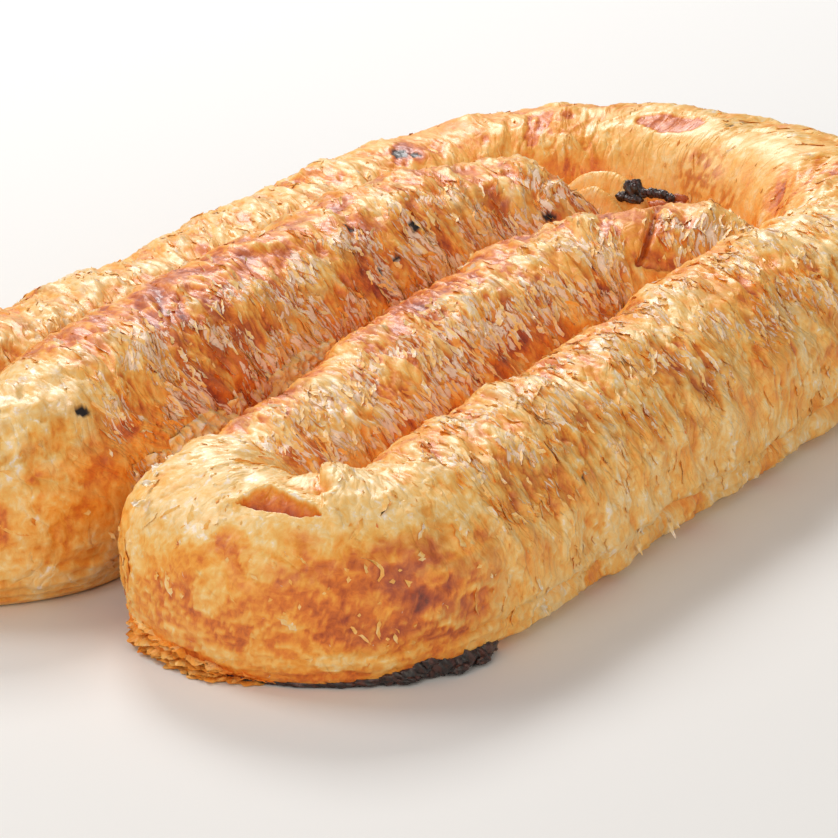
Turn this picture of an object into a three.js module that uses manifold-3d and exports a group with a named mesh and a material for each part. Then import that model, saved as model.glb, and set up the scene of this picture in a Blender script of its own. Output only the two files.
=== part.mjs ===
// Rolled borek: one long rope of filled flaky dough, laid in a flat coil of four touching
// limbs under one wide bow, with its two free ends tucked inside the bow.
// Millimetres, +Z up, resting on z = 0, limbs along Y, the bow at +Y.

import * as THREE from 'three';
import { mergeVertices } from 'three/addons/utils/BufferGeometryUtils.js';
import Module from 'manifold-3d';

const wasm = await Module();
wasm.setup();

// ---------------------------------------------------------------- driving dimensions

// Where the middle of each limb lies, from left to right.
const OUTER_LEFT_X = -71;
const INNER_LEFT_X = -26;
const INNER_RIGHT_X = 21;
const OUTER_RIGHT_X = 68;

// Where the straight limbs turn into the two near bends and the far bow.
const LEFT_BEND_Y = -125;
const RIGHT_BEND_Y = -117.5;
const BOW_Y = 78;

// The free ends, which lean to the right as they enter the bow.
const LEFT_END_Y = 89;
const LEFT_END_LEAN = 14;
const LEFT_LEAN_FROM_Y = 27;
const LEFT_END_ROUND = 24;
const RIGHT_END_Y = 77;
const RIGHT_END_LEAN = 27;
const RIGHT_LEAN_FROM_Y = 17;
const RIGHT_END_ROUND = 14;

// Section of the rope: widest a little above the table, rounded over the top.
const WIDEST_HEIGHT = 17;
const INNER_FOOT_SHARE = 0.92; // foot width beside another limb, as a share of half width
const OUTER_FOOT_SHARE = 0.7; // foot width on the open side
const TOP_POINTS = 15;
const FOOT_POINTS = 2;
const END_LIFT = 0.3; // height of a free end's very tip, as a share of the rope's height

// How softly one run's girth passes into the next one's.
const BEND_RAMP = 18;
const OPEN_RAMP = 20;
const THINNEST = 0.6; // half width left at a free end's very tip

// Unevenness of the hand-rolled rope.
const HEIGHT_WAVE = 0.6;
const WIDTH_WAVE = 0.4;
const LUMP_LENGTHS = [61, 37, 23];

// Where the two right limbs are drawn in beside a groove, on the inner side of the rope before
// the right bend and on its outer side after it: distance past the start of that bend, cut
// from the half width there, cut from the height.
const INNER_CUTS = [[-130, 0, 0], [-112, 2.8, 1.8], [-60, 2.8, 1.8], [-10, 2, 1.3], [20, 0, 0]];
const OUTER_CUTS = [
  [49, 0, 0], [58, 1.2, 0.4], [67, 8.5, 3], [78, 10.5, 5.5], [104, 9.5, 4.3],
  [129, 6.2, 3], [149, 4.2, 2], [179, 2.7, 1.7], [216, 1.8, 1.2], [228, 0, 0],
];

// Steps along the rope.
const STRAIGHT_STEP = 9;
const BEND_STEP = 6;
const BEND_OVERLAP = 3; // how far two lengths of rope run into each other at a bend's middle

// Fused dough: low between all the limbs, higher in the grooves at the two near bends and
// in the hollow between the free ends and the bow.
const FUSED_HEIGHT = 12;
const FUSED_MARGIN = 8; // how far the fused dough reaches past a limb's middle line, inwards
const WEB_WIDTH = 7;
const WEB_LENGTH = 44;
const WEB_HEIGHT = 20;
const FLOOR_X = 2;
const FLOOR_Y = 84;
const FLOOR_RADIUS = 44;
const FLOOR_EDGE_HEIGHT = 17;
const FLOOR_MIDDLE_HEIGHT = 23;

// Folded layers that wrap round the left free end, in the hollow.
const FOLD_X = -12;
const FOLD_Y = 86;
const FOLD_HALF_WIDTH = 6.5;
const FOLDS = [{ radius: 26, height: 29 }, { radius: 18, height: 27 }];
const FOLD_FROM_ANGLE = 140;
const FOLD_TO_ANGLE = 48;

// Torn layers spreading on the table at the foot of the right bend, wider towards the left.
const SKIRT_RIGHT_RADIUS = 36.5;
const SKIRT_LEFT_RADIUS = 42;
const SKIRT_HALF_WIDTH = 4.5;
const SKIRT_HEIGHT = 9;
const SKIRT_LEFT_ANGLE = -162;
const SKIRT_RIGHT_ANGLE = -66;

// Filling that leaked out and burnt: one crust at the foot, one in the hollow.
const CRUST_CLEARANCE = 0.35;
const FOOT_CRUST = { x: 81, y: -130, z: 3.6, length: 25, width: 13, height: 9, turn: 52 };
const HOLLOW_CRUST = { x: -1, y: 112, z: 26, length: 17, width: 9, height: 9, turn: 14 };

// The rope from the left free end to the right one: inner left limb, left bend, outer left
// limb, bow, outer right limb, right bend, inner right limb. Each girth entry is a share of
// the run, the half width and the height there.
const LEFT_BEND = 1;
const RIGHT_BEND = 5;
const RUNS = [
  {
    girth: [[0, 25, 41], [0.12, 25.5, 44], [0.35, 26, 48], [0.8, 26, 48.5]],
    openSide: 0,
  },
  {
    girth: [[0.5, 23, 42]],
    openSide: 1,
  },
  {
    girth: [[0.12, 22, 36], [0.4, 21, 33], [0.6, 20.5, 30.5], [1, 20.5, 30]],
    openSide: 1,
  },
  {
    girth: [[0.1, 21, 31.5], [0.25, 22.5, 34.5], [0.45, 23, 36.5], [0.8, 23.5, 38]],
    openSide: 1,
  },
  {
    girth: [[0.15, 24, 43], [0.5, 24, 44], [0.9, 24, 43]],
    openSide: 1,
  },
  {
    girth: [[0.5, 22.5, 40]],
    openSide: 1,
  },
  {
    girth: [[0.15, 24, 43], [0.5, 24, 44.5], [0.8, 23.5, 45], [1, 23, 42]],
    openSide: 0,
  },
];

// ---------------------------------------------------------------- small helpers

const smooth = (t) => {
  const u = Math.min(Math.max(t, 0), 1);
  return u * u * (3 - 2 * u);
};

const degrees = (angle) => (angle * Math.PI) / 180;

// Reads [position, value] pairs with soft steps between them.
function readTable(pairs, position) {
  if (position <= pairs[0][0]) return pairs[0][1];
  for (let i = 1; i < pairs.length; i += 1) {
    const [x1, v1] = pairs[i];
    const [x0, v0] = pairs[i - 1];
    if (position <= x1) return v0 + (v1 - v0) * smooth((position - x0) / (x1 - x0));
  }
  return pairs[pairs.length - 1][1];
}

// ---------------------------------------------------------------- the rope's route

function limb(x, fromY, toY, lean = () => 0) {
  return {
    length: Math.abs(toY - fromY),
    at: (share) => {
      const y = fromY + (toY - fromY) * share;
      return new THREE.Vector2(x + lean(y), y);
    },
  };
}

function bend(leftX, rightX, centreY, fromAngle, toAngle) {
  const centreX = (leftX + rightX) / 2;
  const radius = (rightX - leftX) / 2;
  return {
    radius,
    length: Math.abs(degrees(toAngle - fromAngle)) * radius,
    at: (share) => {
      const angle = degrees(fromAngle + (toAngle - fromAngle) * share);
      return new THREE.Vector2(centreX + radius * Math.cos(angle), centreY + radius * Math.sin(angle));
    },
  };
}

const leftLean = (y) => (
  LEFT_END_LEAN * smooth((y - LEFT_LEAN_FROM_Y) / (LEFT_END_Y - LEFT_LEAN_FROM_Y)));
const rightLean = (y) => (
  RIGHT_END_LEAN * smooth((y - RIGHT_LEAN_FROM_Y) / (RIGHT_END_Y - RIGHT_LEAN_FROM_Y)));

const PATHS = [
  limb(INNER_LEFT_X, LEFT_END_Y, LEFT_BEND_Y, leftLean),
  bend(OUTER_LEFT_X, INNER_LEFT_X, LEFT_BEND_Y, 0, -180),
  limb(OUTER_LEFT_X, LEFT_BEND_Y, BOW_Y),
  bend(OUTER_LEFT_X, OUTER_RIGHT_X, BOW_Y, 180, 0),
  limb(OUTER_RIGHT_X, BOW_Y, RIGHT_BEND_Y),
  bend(INNER_RIGHT_X, OUTER_RIGHT_X, RIGHT_BEND_Y, 0, -180),
  limb(INNER_RIGHT_X, RIGHT_BEND_Y, RIGHT_END_Y, rightLean),
];

// Where each run starts along the rope; the last entry is the rope's whole length.
const STARTS = PATHS.reduce((starts, path) => [...starts, starts[starts.length - 1] + path.length], [0]);
const ROPE_LENGTH = STARTS[STARTS.length - 1];

function runAt(distance) {
  let run = 0;
  while (run < PATHS.length - 1 && distance > STARTS[run + 1]) run += 1;
  return run;
}

function routePoint(distance) {
  const run = runAt(distance);
  return PATHS[run].at((distance - STARTS[run]) / PATHS[run].length);
}

function routeDirection(distance) {
  const reach = 0.5;
  const ahead = routePoint(Math.min(distance + reach, ROPE_LENGTH));
  const behind = routePoint(Math.max(distance - reach, 0));
  return ahead.sub(behind).normalize();
}

// ---------------------------------------------------------------- the rope's girth

const girthTable = (column) => RUNS.flatMap((run, index) => (
  run.girth.map((entry) => [STARTS[index] + entry[0] * PATHS[index].length, entry[column]])));
const HALF_WIDTHS = girthTable(1);
const HEIGHTS = girthTable(2);

// How much a point of the rope belongs to a tight bend, from 0 to 1.
function bendShare(distance) {
  const shares = [LEFT_BEND, RIGHT_BEND].map((run) => {
    const before = smooth((distance - STARTS[run] + BEND_RAMP) / BEND_RAMP);
    const after = smooth((STARTS[run + 1] - distance + BEND_RAMP) / BEND_RAMP);
    return before * after;
  });
  return Math.max(...shares);
}

// How open the outer side is, from 0 beside another limb to 1 on the outside of the coil.
function openShare(distance) {
  const last = RUNS.length - 1;
  return readTable(
    RUNS.flatMap((run, index) => [
      [STARTS[index] + (index === 0 ? 0 : OPEN_RAMP), run.openSide],
      [STARTS[index + 1] - (index === last ? 0 : OPEN_RAMP), run.openSide],
    ]),
    distance,
  );
}

const wave = (distance, phase) => LUMP_LENGTHS.reduce(
  (sum, length, index) => sum + Math.sin((2 * Math.PI * distance) / length + phase * (index + 1)), 0);

// Fullness near a free end: 0 at the very tip, 1 once the rope is whole.
function fullness(distance) {
  const left = Math.min(distance / LEFT_END_ROUND, 1);
  const right = Math.min((ROPE_LENGTH - distance) / RIGHT_END_ROUND, 1);
  const nearest = Math.max(Math.min(left, right), 0);
  return Math.sqrt(1 - (1 - nearest) ** 2);
}

function cutAt(cuts, distance) {
  const past = distance - STARTS[RIGHT_BEND];
  return {
    width: readTable(cuts.map(([place, width]) => [place, width]), past),
    height: readTable(cuts.map(([place, , height]) => [place, height]), past),
  };
}

function girthAt(distance) {
  const tightRadius = (INNER_LEFT_X - OUTER_LEFT_X) / 2;
  const whole = fullness(distance);
  const halfWidth = readTable(HALF_WIDTHS, distance) + WIDTH_WAVE * wave(distance, 1.3) / 2;
  const innerCut = cutAt(INNER_CUTS, distance);
  const outerCut = cutAt(OUTER_CUTS, distance);
  const drop = innerCut.height + outerCut.height;
  const height = readTable(HEIGHTS, distance) - drop + HEIGHT_WAVE * wave(distance, 0.4) / 2;
  const squeezed = Math.min(halfWidth, tightRadius - 0.8);
  const inner = THREE.MathUtils.lerp(halfWidth, squeezed, bendShare(distance));
  return {
    inner: Math.max((inner - innerCut.width) * whole, THINNEST),
    outer: Math.max((halfWidth - outerCut.width) * whole, THINNEST),
    height: height * (END_LIFT + (1 - END_LIFT) * whole),
    outerFoot: THREE.MathUtils.lerp(INNER_FOOT_SHARE, OUTER_FOOT_SHARE, openShare(distance)),
  };
}

// One ring of the rope: over the top from the inner side to the outer side, then back under it.
function sectionPoints({ inner, outer, height, outerFoot }) {
  const widest = Math.min(WIDEST_HEIGHT, height * 0.5);
  const squareness = 2 / 2.2;
  const points = [];
  for (let i = 0; i < TOP_POINTS; i += 1) {
    const angle = (Math.PI * i) / (TOP_POINTS - 1);
    const across = Math.sign(Math.cos(angle)) * Math.abs(Math.cos(angle)) ** squareness;
    const rise = Math.abs(Math.sin(angle)) ** squareness;
    const side = across > 0 ? inner : outer;
    points.push([across * side, widest + (height - widest) * rise]);
  }
  const foot = (side, share, angle) => side * (share + (1 - share) * Math.cos(angle));
  for (let i = 1; i <= FOOT_POINTS; i += 1) {
    const angle = (Math.PI / 2) * (i / FOOT_POINTS);
    points.push([-foot(outer, outerFoot, angle), widest * (1 - Math.sin(angle))]);
  }
  for (let i = FOOT_POINTS; i >= 1; i -= 1) {
    const angle = (Math.PI / 2) * (i / FOOT_POINTS);
    points.push([foot(inner, INNER_FOOT_SHARE, angle), widest * (1 - Math.sin(angle))]);
  }
  points.forEach((point) => {
    if (point[1] < 1e-6) point[1] = 0;
  });
  return points;
}

// ---------------------------------------------------------------- solids

// Closes a row of equal rings into one solid with flat ends.
function skinRings(rings) {
  const around = rings[0].length;
  const positions = rings.flat().flatMap((point) => [point.x, point.y, point.z]);
  const triangles = [];
  for (let row = 0; row < rings.length - 1; row += 1) {
    for (let i = 0; i < around; i += 1) {
      const next = (i + 1) % around;
      const a = row * around + i;
      const b = row * around + next;
      const c = (row + 1) * around + i;
      const d = (row + 1) * around + next;
      triangles.push(a, c, b, b, c, d);
    }
  }
  [0, rings.length - 1].forEach((row) => {
    const middle = positions.length / 3;
    const centre = new THREE.Vector3();
    rings[row].forEach((point) => centre.add(point));
    centre.divideScalar(around);
    positions.push(centre.x, centre.y, centre.z);
    for (let i = 0; i < around; i += 1) {
      const a = row * around + i;
      const b = row * around + ((i + 1) % around);
      if (row === 0) triangles.push(middle, a, b);
      else triangles.push(middle, b, a);
    }
  });
  const geometry = new THREE.BufferGeometry();
  geometry.setAttribute('position', new THREE.Float32BufferAttribute(positions, 3));
  geometry.setIndex(triangles);
  return geometry;
}

function toSolid(geometry) {
  const bare = geometry.clone();
  bare.deleteAttribute('normal');
  bare.deleteAttribute('uv');
  const merged = mergeVertices(bare);
  return new wasm.Manifold(new wasm.Mesh({
    numProp: 3,
    vertProperties: new Float32Array(merged.attributes.position.array),
    triVerts: new Uint32Array(merged.index.array),
  }));
}

function toGeometry(solid) {
  const { vertProperties, triVerts, numProp } = solid.getMesh();
  const positions = [];
  for (let i = 0; i < vertProperties.length; i += numProp) {
    positions.push(vertProperties[i], vertProperties[i + 1], vertProperties[i + 2]);
  }
  const geometry = new THREE.BufferGeometry();
  geometry.setAttribute('position', new THREE.Float32BufferAttribute(positions, 3));
  geometry.setIndex(Array.from(triVerts));
  geometry.computeVertexNormals();
  return geometry;
}

// Keeps only the biggest closed surface, without loose crumbs and sealed pockets.
function largestShell(solid) {
  const shells = solid.decompose();
  shells.sort((one, other) => other.volume() - one.volume());
  return shells[0];
}

// A ring across the rope. The inner side of every bend is on the right of travel.
function ringAt(distance) {
  const centre = routePoint(distance);
  const direction = routeDirection(distance);
  return sectionPoints(girthAt(distance)).map(([across, z]) => new THREE.Vector3(
    centre.x + direction.y * across, centre.y - direction.x * across, z));
}

function ropeLength(from, to) {
  const rings = [];
  let distance = from;
  while (distance < to - 1) {
    rings.push(ringAt(distance));
    const nearEnd = Math.min(distance, ROPE_LENGTH - distance) < LEFT_END_ROUND;
    const bending = PATHS[runAt(distance)].radius !== undefined;
    distance += nearEnd ? BEND_STEP / 2 : (bending ? BEND_STEP : STRAIGHT_STEP);
  }
  rings.push(ringAt(to));
  return skinRings(rings);
}

// A low arched strip laid along an arc: folded layers, or torn ones at a foot.
function archedStrip({ centreX, centreY, radii, angles, halfWidth, height }) {
  const steps = 14;
  const rings = [];
  for (let i = 0; i <= steps; i += 1) {
    const share = i / steps;
    const angle = degrees(THREE.MathUtils.lerp(angles[0], angles[1], share));
    const radius = THREE.MathUtils.lerp(radii[0], radii[1], share);
    const thinning = Math.sqrt(Math.sin(Math.PI * (0.01 + 0.98 * share)));
    const ring = [];
    for (let j = 0; j <= 6; j += 1) {
      const over = (Math.PI * j) / 6;
      const reach = radius - Math.cos(over) * halfWidth * thinning;
      const z = Math.max(Math.sin(over), 0.03) * height * thinning;
      ring.push(new THREE.Vector3(
        centreX + reach * Math.cos(angle), centreY + reach * Math.sin(angle), z));
    }
    [1, -1].forEach((side) => {
      const reach = radius + side * halfWidth * thinning * 0.94;
      ring.push(new THREE.Vector3(
        centreX + reach * Math.cos(angle), centreY + reach * Math.sin(angle), 0));
    });
    rings.push(ring);
  }
  return skinRings(rings);
}

// The low slab of dough that joins all limbs under their grooves.
function fusedDough() {
  const left = OUTER_LEFT_X + FUSED_MARGIN;
  const right = OUTER_RIGHT_X - FUSED_MARGIN;
  const outline = new THREE.Shape();
  outline.moveTo(left, LEFT_BEND_Y);
  outline.lineTo(INNER_LEFT_X, LEFT_BEND_Y);
  outline.lineTo((INNER_LEFT_X + INNER_RIGHT_X) / 2, RIGHT_BEND_Y + FUSED_MARGIN);
  outline.lineTo(INNER_RIGHT_X, RIGHT_BEND_Y);
  outline.lineTo(right, RIGHT_BEND_Y);
  outline.lineTo(right, BOW_Y);
  outline.absarc((left + right) / 2, BOW_Y, (right - left) / 2, 0, Math.PI, false);
  return new THREE.ExtrudeGeometry(outline, {
    depth: FUSED_HEIGHT, bevelEnabled: false, curveSegments: 16,
  });
}

function hollowFloor() {
  const profile = [
    new THREE.Vector2(0, 0),
    new THREE.Vector2(FLOOR_RADIUS, 0),
    new THREE.Vector2(FLOOR_RADIUS, FLOOR_EDGE_HEIGHT),
    new THREE.Vector2(FLOOR_RADIUS * 0.6, (FLOOR_EDGE_HEIGHT + FLOOR_MIDDLE_HEIGHT) / 2),
    new THREE.Vector2(0, FLOOR_MIDDLE_HEIGHT),
  ];
  const floor = new THREE.LatheGeometry(profile, 20);
  floor.rotateX(Math.PI / 2);
  floor.translate(FLOOR_X, FLOOR_Y, 0);
  return floor;
}

function groove(leftX, rightX, bendY) {
  const web = new THREE.BoxGeometry(WEB_WIDTH, WEB_LENGTH, WEB_HEIGHT);
  web.translate((leftX + rightX) / 2, bendY + WEB_LENGTH / 2 - WEB_WIDTH, WEB_HEIGHT / 2);
  return web;
}

function pastryRoll() {
  const leftMiddle = (STARTS[LEFT_BEND] + STARTS[LEFT_BEND + 1]) / 2;
  const rightMiddle = (STARTS[RIGHT_BEND] + STARTS[RIGHT_BEND + 1]) / 2;
  const pieces = [
    ropeLength(0, leftMiddle + BEND_OVERLAP),
    ropeLength(leftMiddle - BEND_OVERLAP, rightMiddle + BEND_OVERLAP),
    ropeLength(rightMiddle - BEND_OVERLAP, ROPE_LENGTH),
    groove(OUTER_LEFT_X, INNER_LEFT_X, LEFT_BEND_Y),
    groove(INNER_RIGHT_X, OUTER_RIGHT_X, RIGHT_BEND_Y),
    fusedDough(),
    hollowFloor(),
    ...FOLDS.map(({ radius, height }) => archedStrip({
      centreX: FOLD_X,
      centreY: FOLD_Y,
      radii: [radius, radius],
      angles: [FOLD_FROM_ANGLE, FOLD_TO_ANGLE],
      halfWidth: FOLD_HALF_WIDTH,
      height,
    })),
    archedStrip({
      centreX: (INNER_RIGHT_X + OUTER_RIGHT_X) / 2,
      centreY: RIGHT_BEND_Y,
      radii: [SKIRT_RIGHT_RADIUS, SKIRT_LEFT_RADIUS],
      angles: [SKIRT_RIGHT_ANGLE, SKIRT_LEFT_ANGLE],
      halfWidth: SKIRT_HALF_WIDTH,
      height: SKIRT_HEIGHT,
    }),
  ];
  return largestShell(pieces.map(toSolid).reduce((whole, piece) => whole.add(piece)));
}

// A knobbly crust of burnt filling, flat where it meets the table.
function burntCrust({ x, y, z, length, width, height, turn }) {
  const ball = new THREE.IcosahedronGeometry(1, 3);
  const position = ball.attributes.position;
  const point = new THREE.Vector3();
  for (let i = 0; i < position.count; i += 1) {
    point.fromBufferAttribute(position, i);
    const knobs = Math.sin(5.1 * point.x + 1) * Math.sin(4.3 * point.y + 2) * Math.cos(4.7 * point.z);
    point.multiplyScalar(1 + 0.16 * knobs);
    position.setXYZ(i, point.x, point.y, point.z);
  }
  ball.scale(length / 2, width / 2, height / 2);
  ball.rotateZ(degrees(turn));
  ball.translate(x, y, z);
  const table = new THREE.BoxGeometry(400, 400, 40);
  table.translate(0, 0, -20);
  return toSolid(ball).subtract(toSolid(table));
}

// Takes the pastry and a small clearance round it out of a crust, and keeps the largest piece.
function clearOf(crust, pastry) {
  const shifts = [
    [1, 0, 0], [-1, 0, 0], [0, 1, 0], [0, -1, 0], [0, 0, 1], [0, 0, -1],
  ];
  const cut = shifts.reduce(
    (rest, shift) => rest.subtract(pastry.translate(shift.map((side) => side * CRUST_CLEARANCE))),
    crust,
  );
  return largestShell(cut);
}

// ---------------------------------------------------------------- the model

const crustMaterial = new THREE.MeshStandardMaterial({ color: 0xd9985a, roughness: 0.45, metalness: 0 });
const burntMaterial = new THREE.MeshStandardMaterial({ color: 0x3a221a, roughness: 0.6, metalness: 0 });

// Puts the middle of the pastry's outline over the origin.
const roll = pastryRoll();
const outline = roll.boundingBox();
const middle = [
  -(outline.min[0] + outline.max[0]) / 2,
  -(outline.min[1] + outline.max[1]) / 2,
  0,
];

function namedMesh(name, solid, material) {
  const mesh = new THREE.Mesh(toGeometry(solid.translate(middle)), material);
  mesh.name = name;
  return mesh;
}

const borek = new THREE.Group();
borek.name = 'rolled_borek';
borek.add(namedMesh('pastry_roll', roll, crustMaterial));
borek.add(namedMesh('burnt_filling_foot', clearOf(burntCrust(FOOT_CRUST), roll), burntMaterial));
borek.add(namedMesh('burnt_filling_hollow', clearOf(burntCrust(HOLLOW_CRUST), roll), burntMaterial));

export default borek;
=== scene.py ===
"""Looks of the rolled borek: a flaky baked coil of filled dough, in the frame of its CAD solids.

Lengths below are millimetres in the coil's own frame, the one its driving sizes are given in.
`place` turns them into metres in the row frame.
"""

import math

import bpy
import numpy as np
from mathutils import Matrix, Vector


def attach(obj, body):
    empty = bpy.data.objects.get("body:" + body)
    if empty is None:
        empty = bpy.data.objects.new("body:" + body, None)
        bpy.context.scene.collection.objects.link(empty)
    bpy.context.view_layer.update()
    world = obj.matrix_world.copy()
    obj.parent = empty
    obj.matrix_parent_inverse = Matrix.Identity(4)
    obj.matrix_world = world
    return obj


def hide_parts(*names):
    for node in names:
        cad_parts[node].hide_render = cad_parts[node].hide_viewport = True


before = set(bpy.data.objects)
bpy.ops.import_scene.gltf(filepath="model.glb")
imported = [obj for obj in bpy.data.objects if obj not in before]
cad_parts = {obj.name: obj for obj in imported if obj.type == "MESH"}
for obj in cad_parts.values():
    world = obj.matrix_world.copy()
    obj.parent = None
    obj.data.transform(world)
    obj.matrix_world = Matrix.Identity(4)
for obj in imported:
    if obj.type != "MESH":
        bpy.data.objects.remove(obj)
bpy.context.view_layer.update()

MM = 0.001

# ------------------------------------------------------------------ driving sizes of the coil

OUTER_LEFT_X = -71.0
INNER_LEFT_X = -26.0
INNER_RIGHT_X = 21.0
OUTER_RIGHT_X = 68.0
LEFT_BEND_Y = -125.0
RIGHT_BEND_Y = -117.5
BOW_Y = 78.0
LEFT_END_Y = 89.0
LEFT_END_LEAN = 14.0
LEFT_LEAN_FROM_Y = 27.0
LEFT_END_ROUND = 24.0
RIGHT_END_Y = 77.0
RIGHT_END_LEAN = 27.0
RIGHT_LEAN_FROM_Y = 17.0
RIGHT_END_ROUND = 14.0
WIDEST_HEIGHT = 17.0
INNER_FOOT_SHARE = 0.92
OUTER_FOOT_SHARE = 0.7
END_LIFT = 0.3
HEIGHT_WAVE = 0.6
WIDTH_WAVE = 0.4
LUMP_LENGTHS = (61.0, 37.0, 23.0)
FLOOR_X = 2.0
FLOOR_Y = 84.0
FLOOR_RADIUS = 44.0
FLOOR_EDGE_HEIGHT = 17.0
FLOOR_MIDDLE_HEIGHT = 23.0
FOLD_X = -12.0
FOLD_Y = 86.0
FOLD_HALF_WIDTH = 6.5
FOLDS = ((26.0, 29.0), (18.0, 27.0))
FOLD_FROM_ANGLE = 140
FOLD_TO_ANGLE = 48
TIGHT_RADIUS = (INNER_LEFT_X - OUTER_LEFT_X) / 2
BEND_RAMP = 18.0
OPEN_RAMP = 20.0
SQUARENESS = 2 / 2.2

# kind of run, its place, girth as (share of the run, half width, height), whether its outer
# side is open, and the step between rings of the visual mesh
RUNS = (
    dict(name="inner_left", x=INNER_LEFT_X, y=(LEFT_END_Y, LEFT_BEND_Y),
         lean=(LEFT_END_LEAN, LEFT_LEAN_FROM_Y, LEFT_END_Y), open=0, step=0.42,
         girth=((0, 25, 41), (0.12, 25.5, 44), (0.35, 26, 48), (0.8, 26, 48.5))),
    dict(name="left_bend", sides=(OUTER_LEFT_X, INNER_LEFT_X), centre_y=LEFT_BEND_Y,
         angles=(0, -180), open=1, step=0.36, girth=((0.5, 23, 42),)),
    dict(name="outer_left", x=OUTER_LEFT_X, y=(LEFT_BEND_Y, BOW_Y), lean=None, open=1, step=0.7,
         girth=((0.12, 22, 36), (0.4, 21, 33), (0.6, 20.5, 30.5), (1, 20.5, 30))),
    dict(name="bow", sides=(OUTER_LEFT_X, OUTER_RIGHT_X), centre_y=BOW_Y, angles=(180, 0),
         open=1, step=0.45,
         girth=((0.1, 21, 31.5), (0.25, 22.5, 34.5), (0.45, 23, 36.5), (0.8, 23.5, 38))),
    dict(name="outer_right", x=OUTER_RIGHT_X, y=(BOW_Y, RIGHT_BEND_Y), lean=None, open=1, step=0.42,
         girth=((0.15, 24, 43), (0.5, 24, 44), (0.9, 24, 43))),
    dict(name="right_bend", sides=(INNER_RIGHT_X, OUTER_RIGHT_X), centre_y=RIGHT_BEND_Y,
         angles=(0, -180), open=1, step=0.28, girth=((0.5, 22.5, 40),)),
    dict(name="inner_right", x=INNER_RIGHT_X, y=(RIGHT_BEND_Y, RIGHT_END_Y),
         lean=(RIGHT_END_LEAN, RIGHT_LEAN_FROM_Y, RIGHT_END_Y), open=0, step=0.42,
         girth=((0.15, 24, 43), (0.5, 24, 44.5), (0.8, 23.5, 45), (1, 23, 42))),
)

# Where the two right limbs are drawn in beside a groove: distance past the start of the right
# bend, cut from the half width there, cut from the height.
RIGHT_BEND = 5
INNER_CUTS = ((-130, 0, 0), (-112, 2.8, 1.8), (-60, 2.8, 1.8), (-10, 2, 1.3), (20, 0, 0))
OUTER_CUTS = ((49, 0, 0), (58, 1.2, 0.4), (67, 8.5, 3), (78, 10.5, 5.5), (104, 9.5, 4.3),
              (129, 6.2, 3), (149, 4.2, 2), (179, 2.7, 1.7), (216, 1.8, 1.2), (228, 0, 0))

COARSE = 1.0

# ------------------------------------------------------------------ small helpers


def smooth(t):
    u = np.clip(t, 0, 1)
    return u * u * (3 - 2 * u)


def rise(x, low, high):
    """0 below low, 1 above high, with a soft step between."""
    return smooth((x - low) / (high - low))


def between(x, low, high, soft):
    """1 between low and high, falling softly to 0 over `soft` on both sides."""
    return rise(x, low - soft, low + soft) * (1 - rise(x, high - soft, high + soft))


def blend(value, target, share):
    return value * (1 - share) + target * share


def read_table(pairs, x):
    """Reads (place, value) pairs with soft steps between them."""
    places = np.array([p[0] for p in pairs], float)
    values = np.array([p[1] for p in pairs], float)
    i = np.clip(np.searchsorted(places, x), 1, len(places) - 1)
    share = (x - places[i - 1]) / np.maximum(places[i] - places[i - 1], 1e-9)
    return values[i - 1] + (values[i] - values[i - 1]) * smooth(share)


def unit(v):
    return v / np.maximum(np.linalg.norm(v, axis=-1, keepdims=True), 1e-9)


# ------------------------------------------------------------------ noise


LOW_BITS = np.uint64(0xFFFFFFFF)
HASH_X, HASH_Y = np.uint64(374761393), np.uint64(668265263)
HASH_SEED, HASH_START = 2246822519, 3266489917
HASH_ROUNDS = ((np.uint64(13), np.uint64(1274126177)), (np.uint64(16), np.uint64(2654435761)))


def lattice(ix, iy, seed):
    """A random number from 0 to 1 for each pair of whole numbers."""
    h = (ix.astype(np.int64).astype(np.uint64) * HASH_X
         + iy.astype(np.int64).astype(np.uint64) * HASH_Y
         + np.uint64(seed * HASH_SEED + HASH_START)) & LOW_BITS
    for shift, factor in HASH_ROUNDS:
        h = ((h ^ (h >> shift)) * factor) & LOW_BITS
    return ((h ^ (h >> np.uint64(15))) & LOW_BITS).astype(np.float64) / 2.0 ** 32


def noise(x, y, seed=0):
    """Smooth gradient noise, about -1 to 1, one cell per unit."""
    x = np.asarray(x, float)
    y = np.asarray(y, float)
    ix, iy = np.floor(x), np.floor(y)
    fx, fy = x - ix, y - iy
    u = fx * fx * fx * (fx * (fx * 6 - 15) + 10)
    v = fy * fy * fy * (fy * (fy * 6 - 15) + 10)
    corners = []
    for dx in (0, 1):
        for dy in (0, 1):
            turn = lattice(ix + dx, iy + dy, seed) * 2 * math.pi
            corners.append(np.cos(turn) * (fx - dx) + np.sin(turn) * (fy - dy))
    low = corners[0] + (corners[2] - corners[0]) * u
    high = corners[1] + (corners[3] - corners[1]) * u
    return (low + (high - low) * v) * 1.5


def layers(x, y, seed=0, octaves=3, gain=0.5):
    total, weight, size = 0.0, 1.0, 0.0
    for k in range(octaves):
        total = total + weight * noise(x * 2 ** k + 17.3 * k, y * 2 ** k - 9.1 * k, seed + 11 * k)
        size += weight
        weight *= gain
    return total / size * 1.3


def ridge(x, y, seed=0, sharp=1.0):
    """Thin crests, 0 in the wide troughs to 1 on the crest."""
    return np.clip(1 - np.abs(noise(x, y, seed)) * 2.2, 0, 1) ** sharp


# ------------------------------------------------------------------ the rope's route and girth


def run_length(run):
    if "x" in run:
        return abs(run["y"][1] - run["y"][0])
    radius = (run["sides"][1] - run["sides"][0]) / 2
    return abs(math.radians(run["angles"][1] - run["angles"][0])) * radius


LENGTHS = [run_length(run) for run in RUNS]
STARTS = np.concatenate([[0.0], np.cumsum(LENGTHS)])
ROPE_LENGTH = STARTS[-1]
# Where along the rope the runs start: B inner left limb, L left bend, A outer left limb, W bow,
# D outer right limb, R right bend, C inner right limb.
L0, A0, W0, D0, R0, C0 = STARTS[1:-1]


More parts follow.
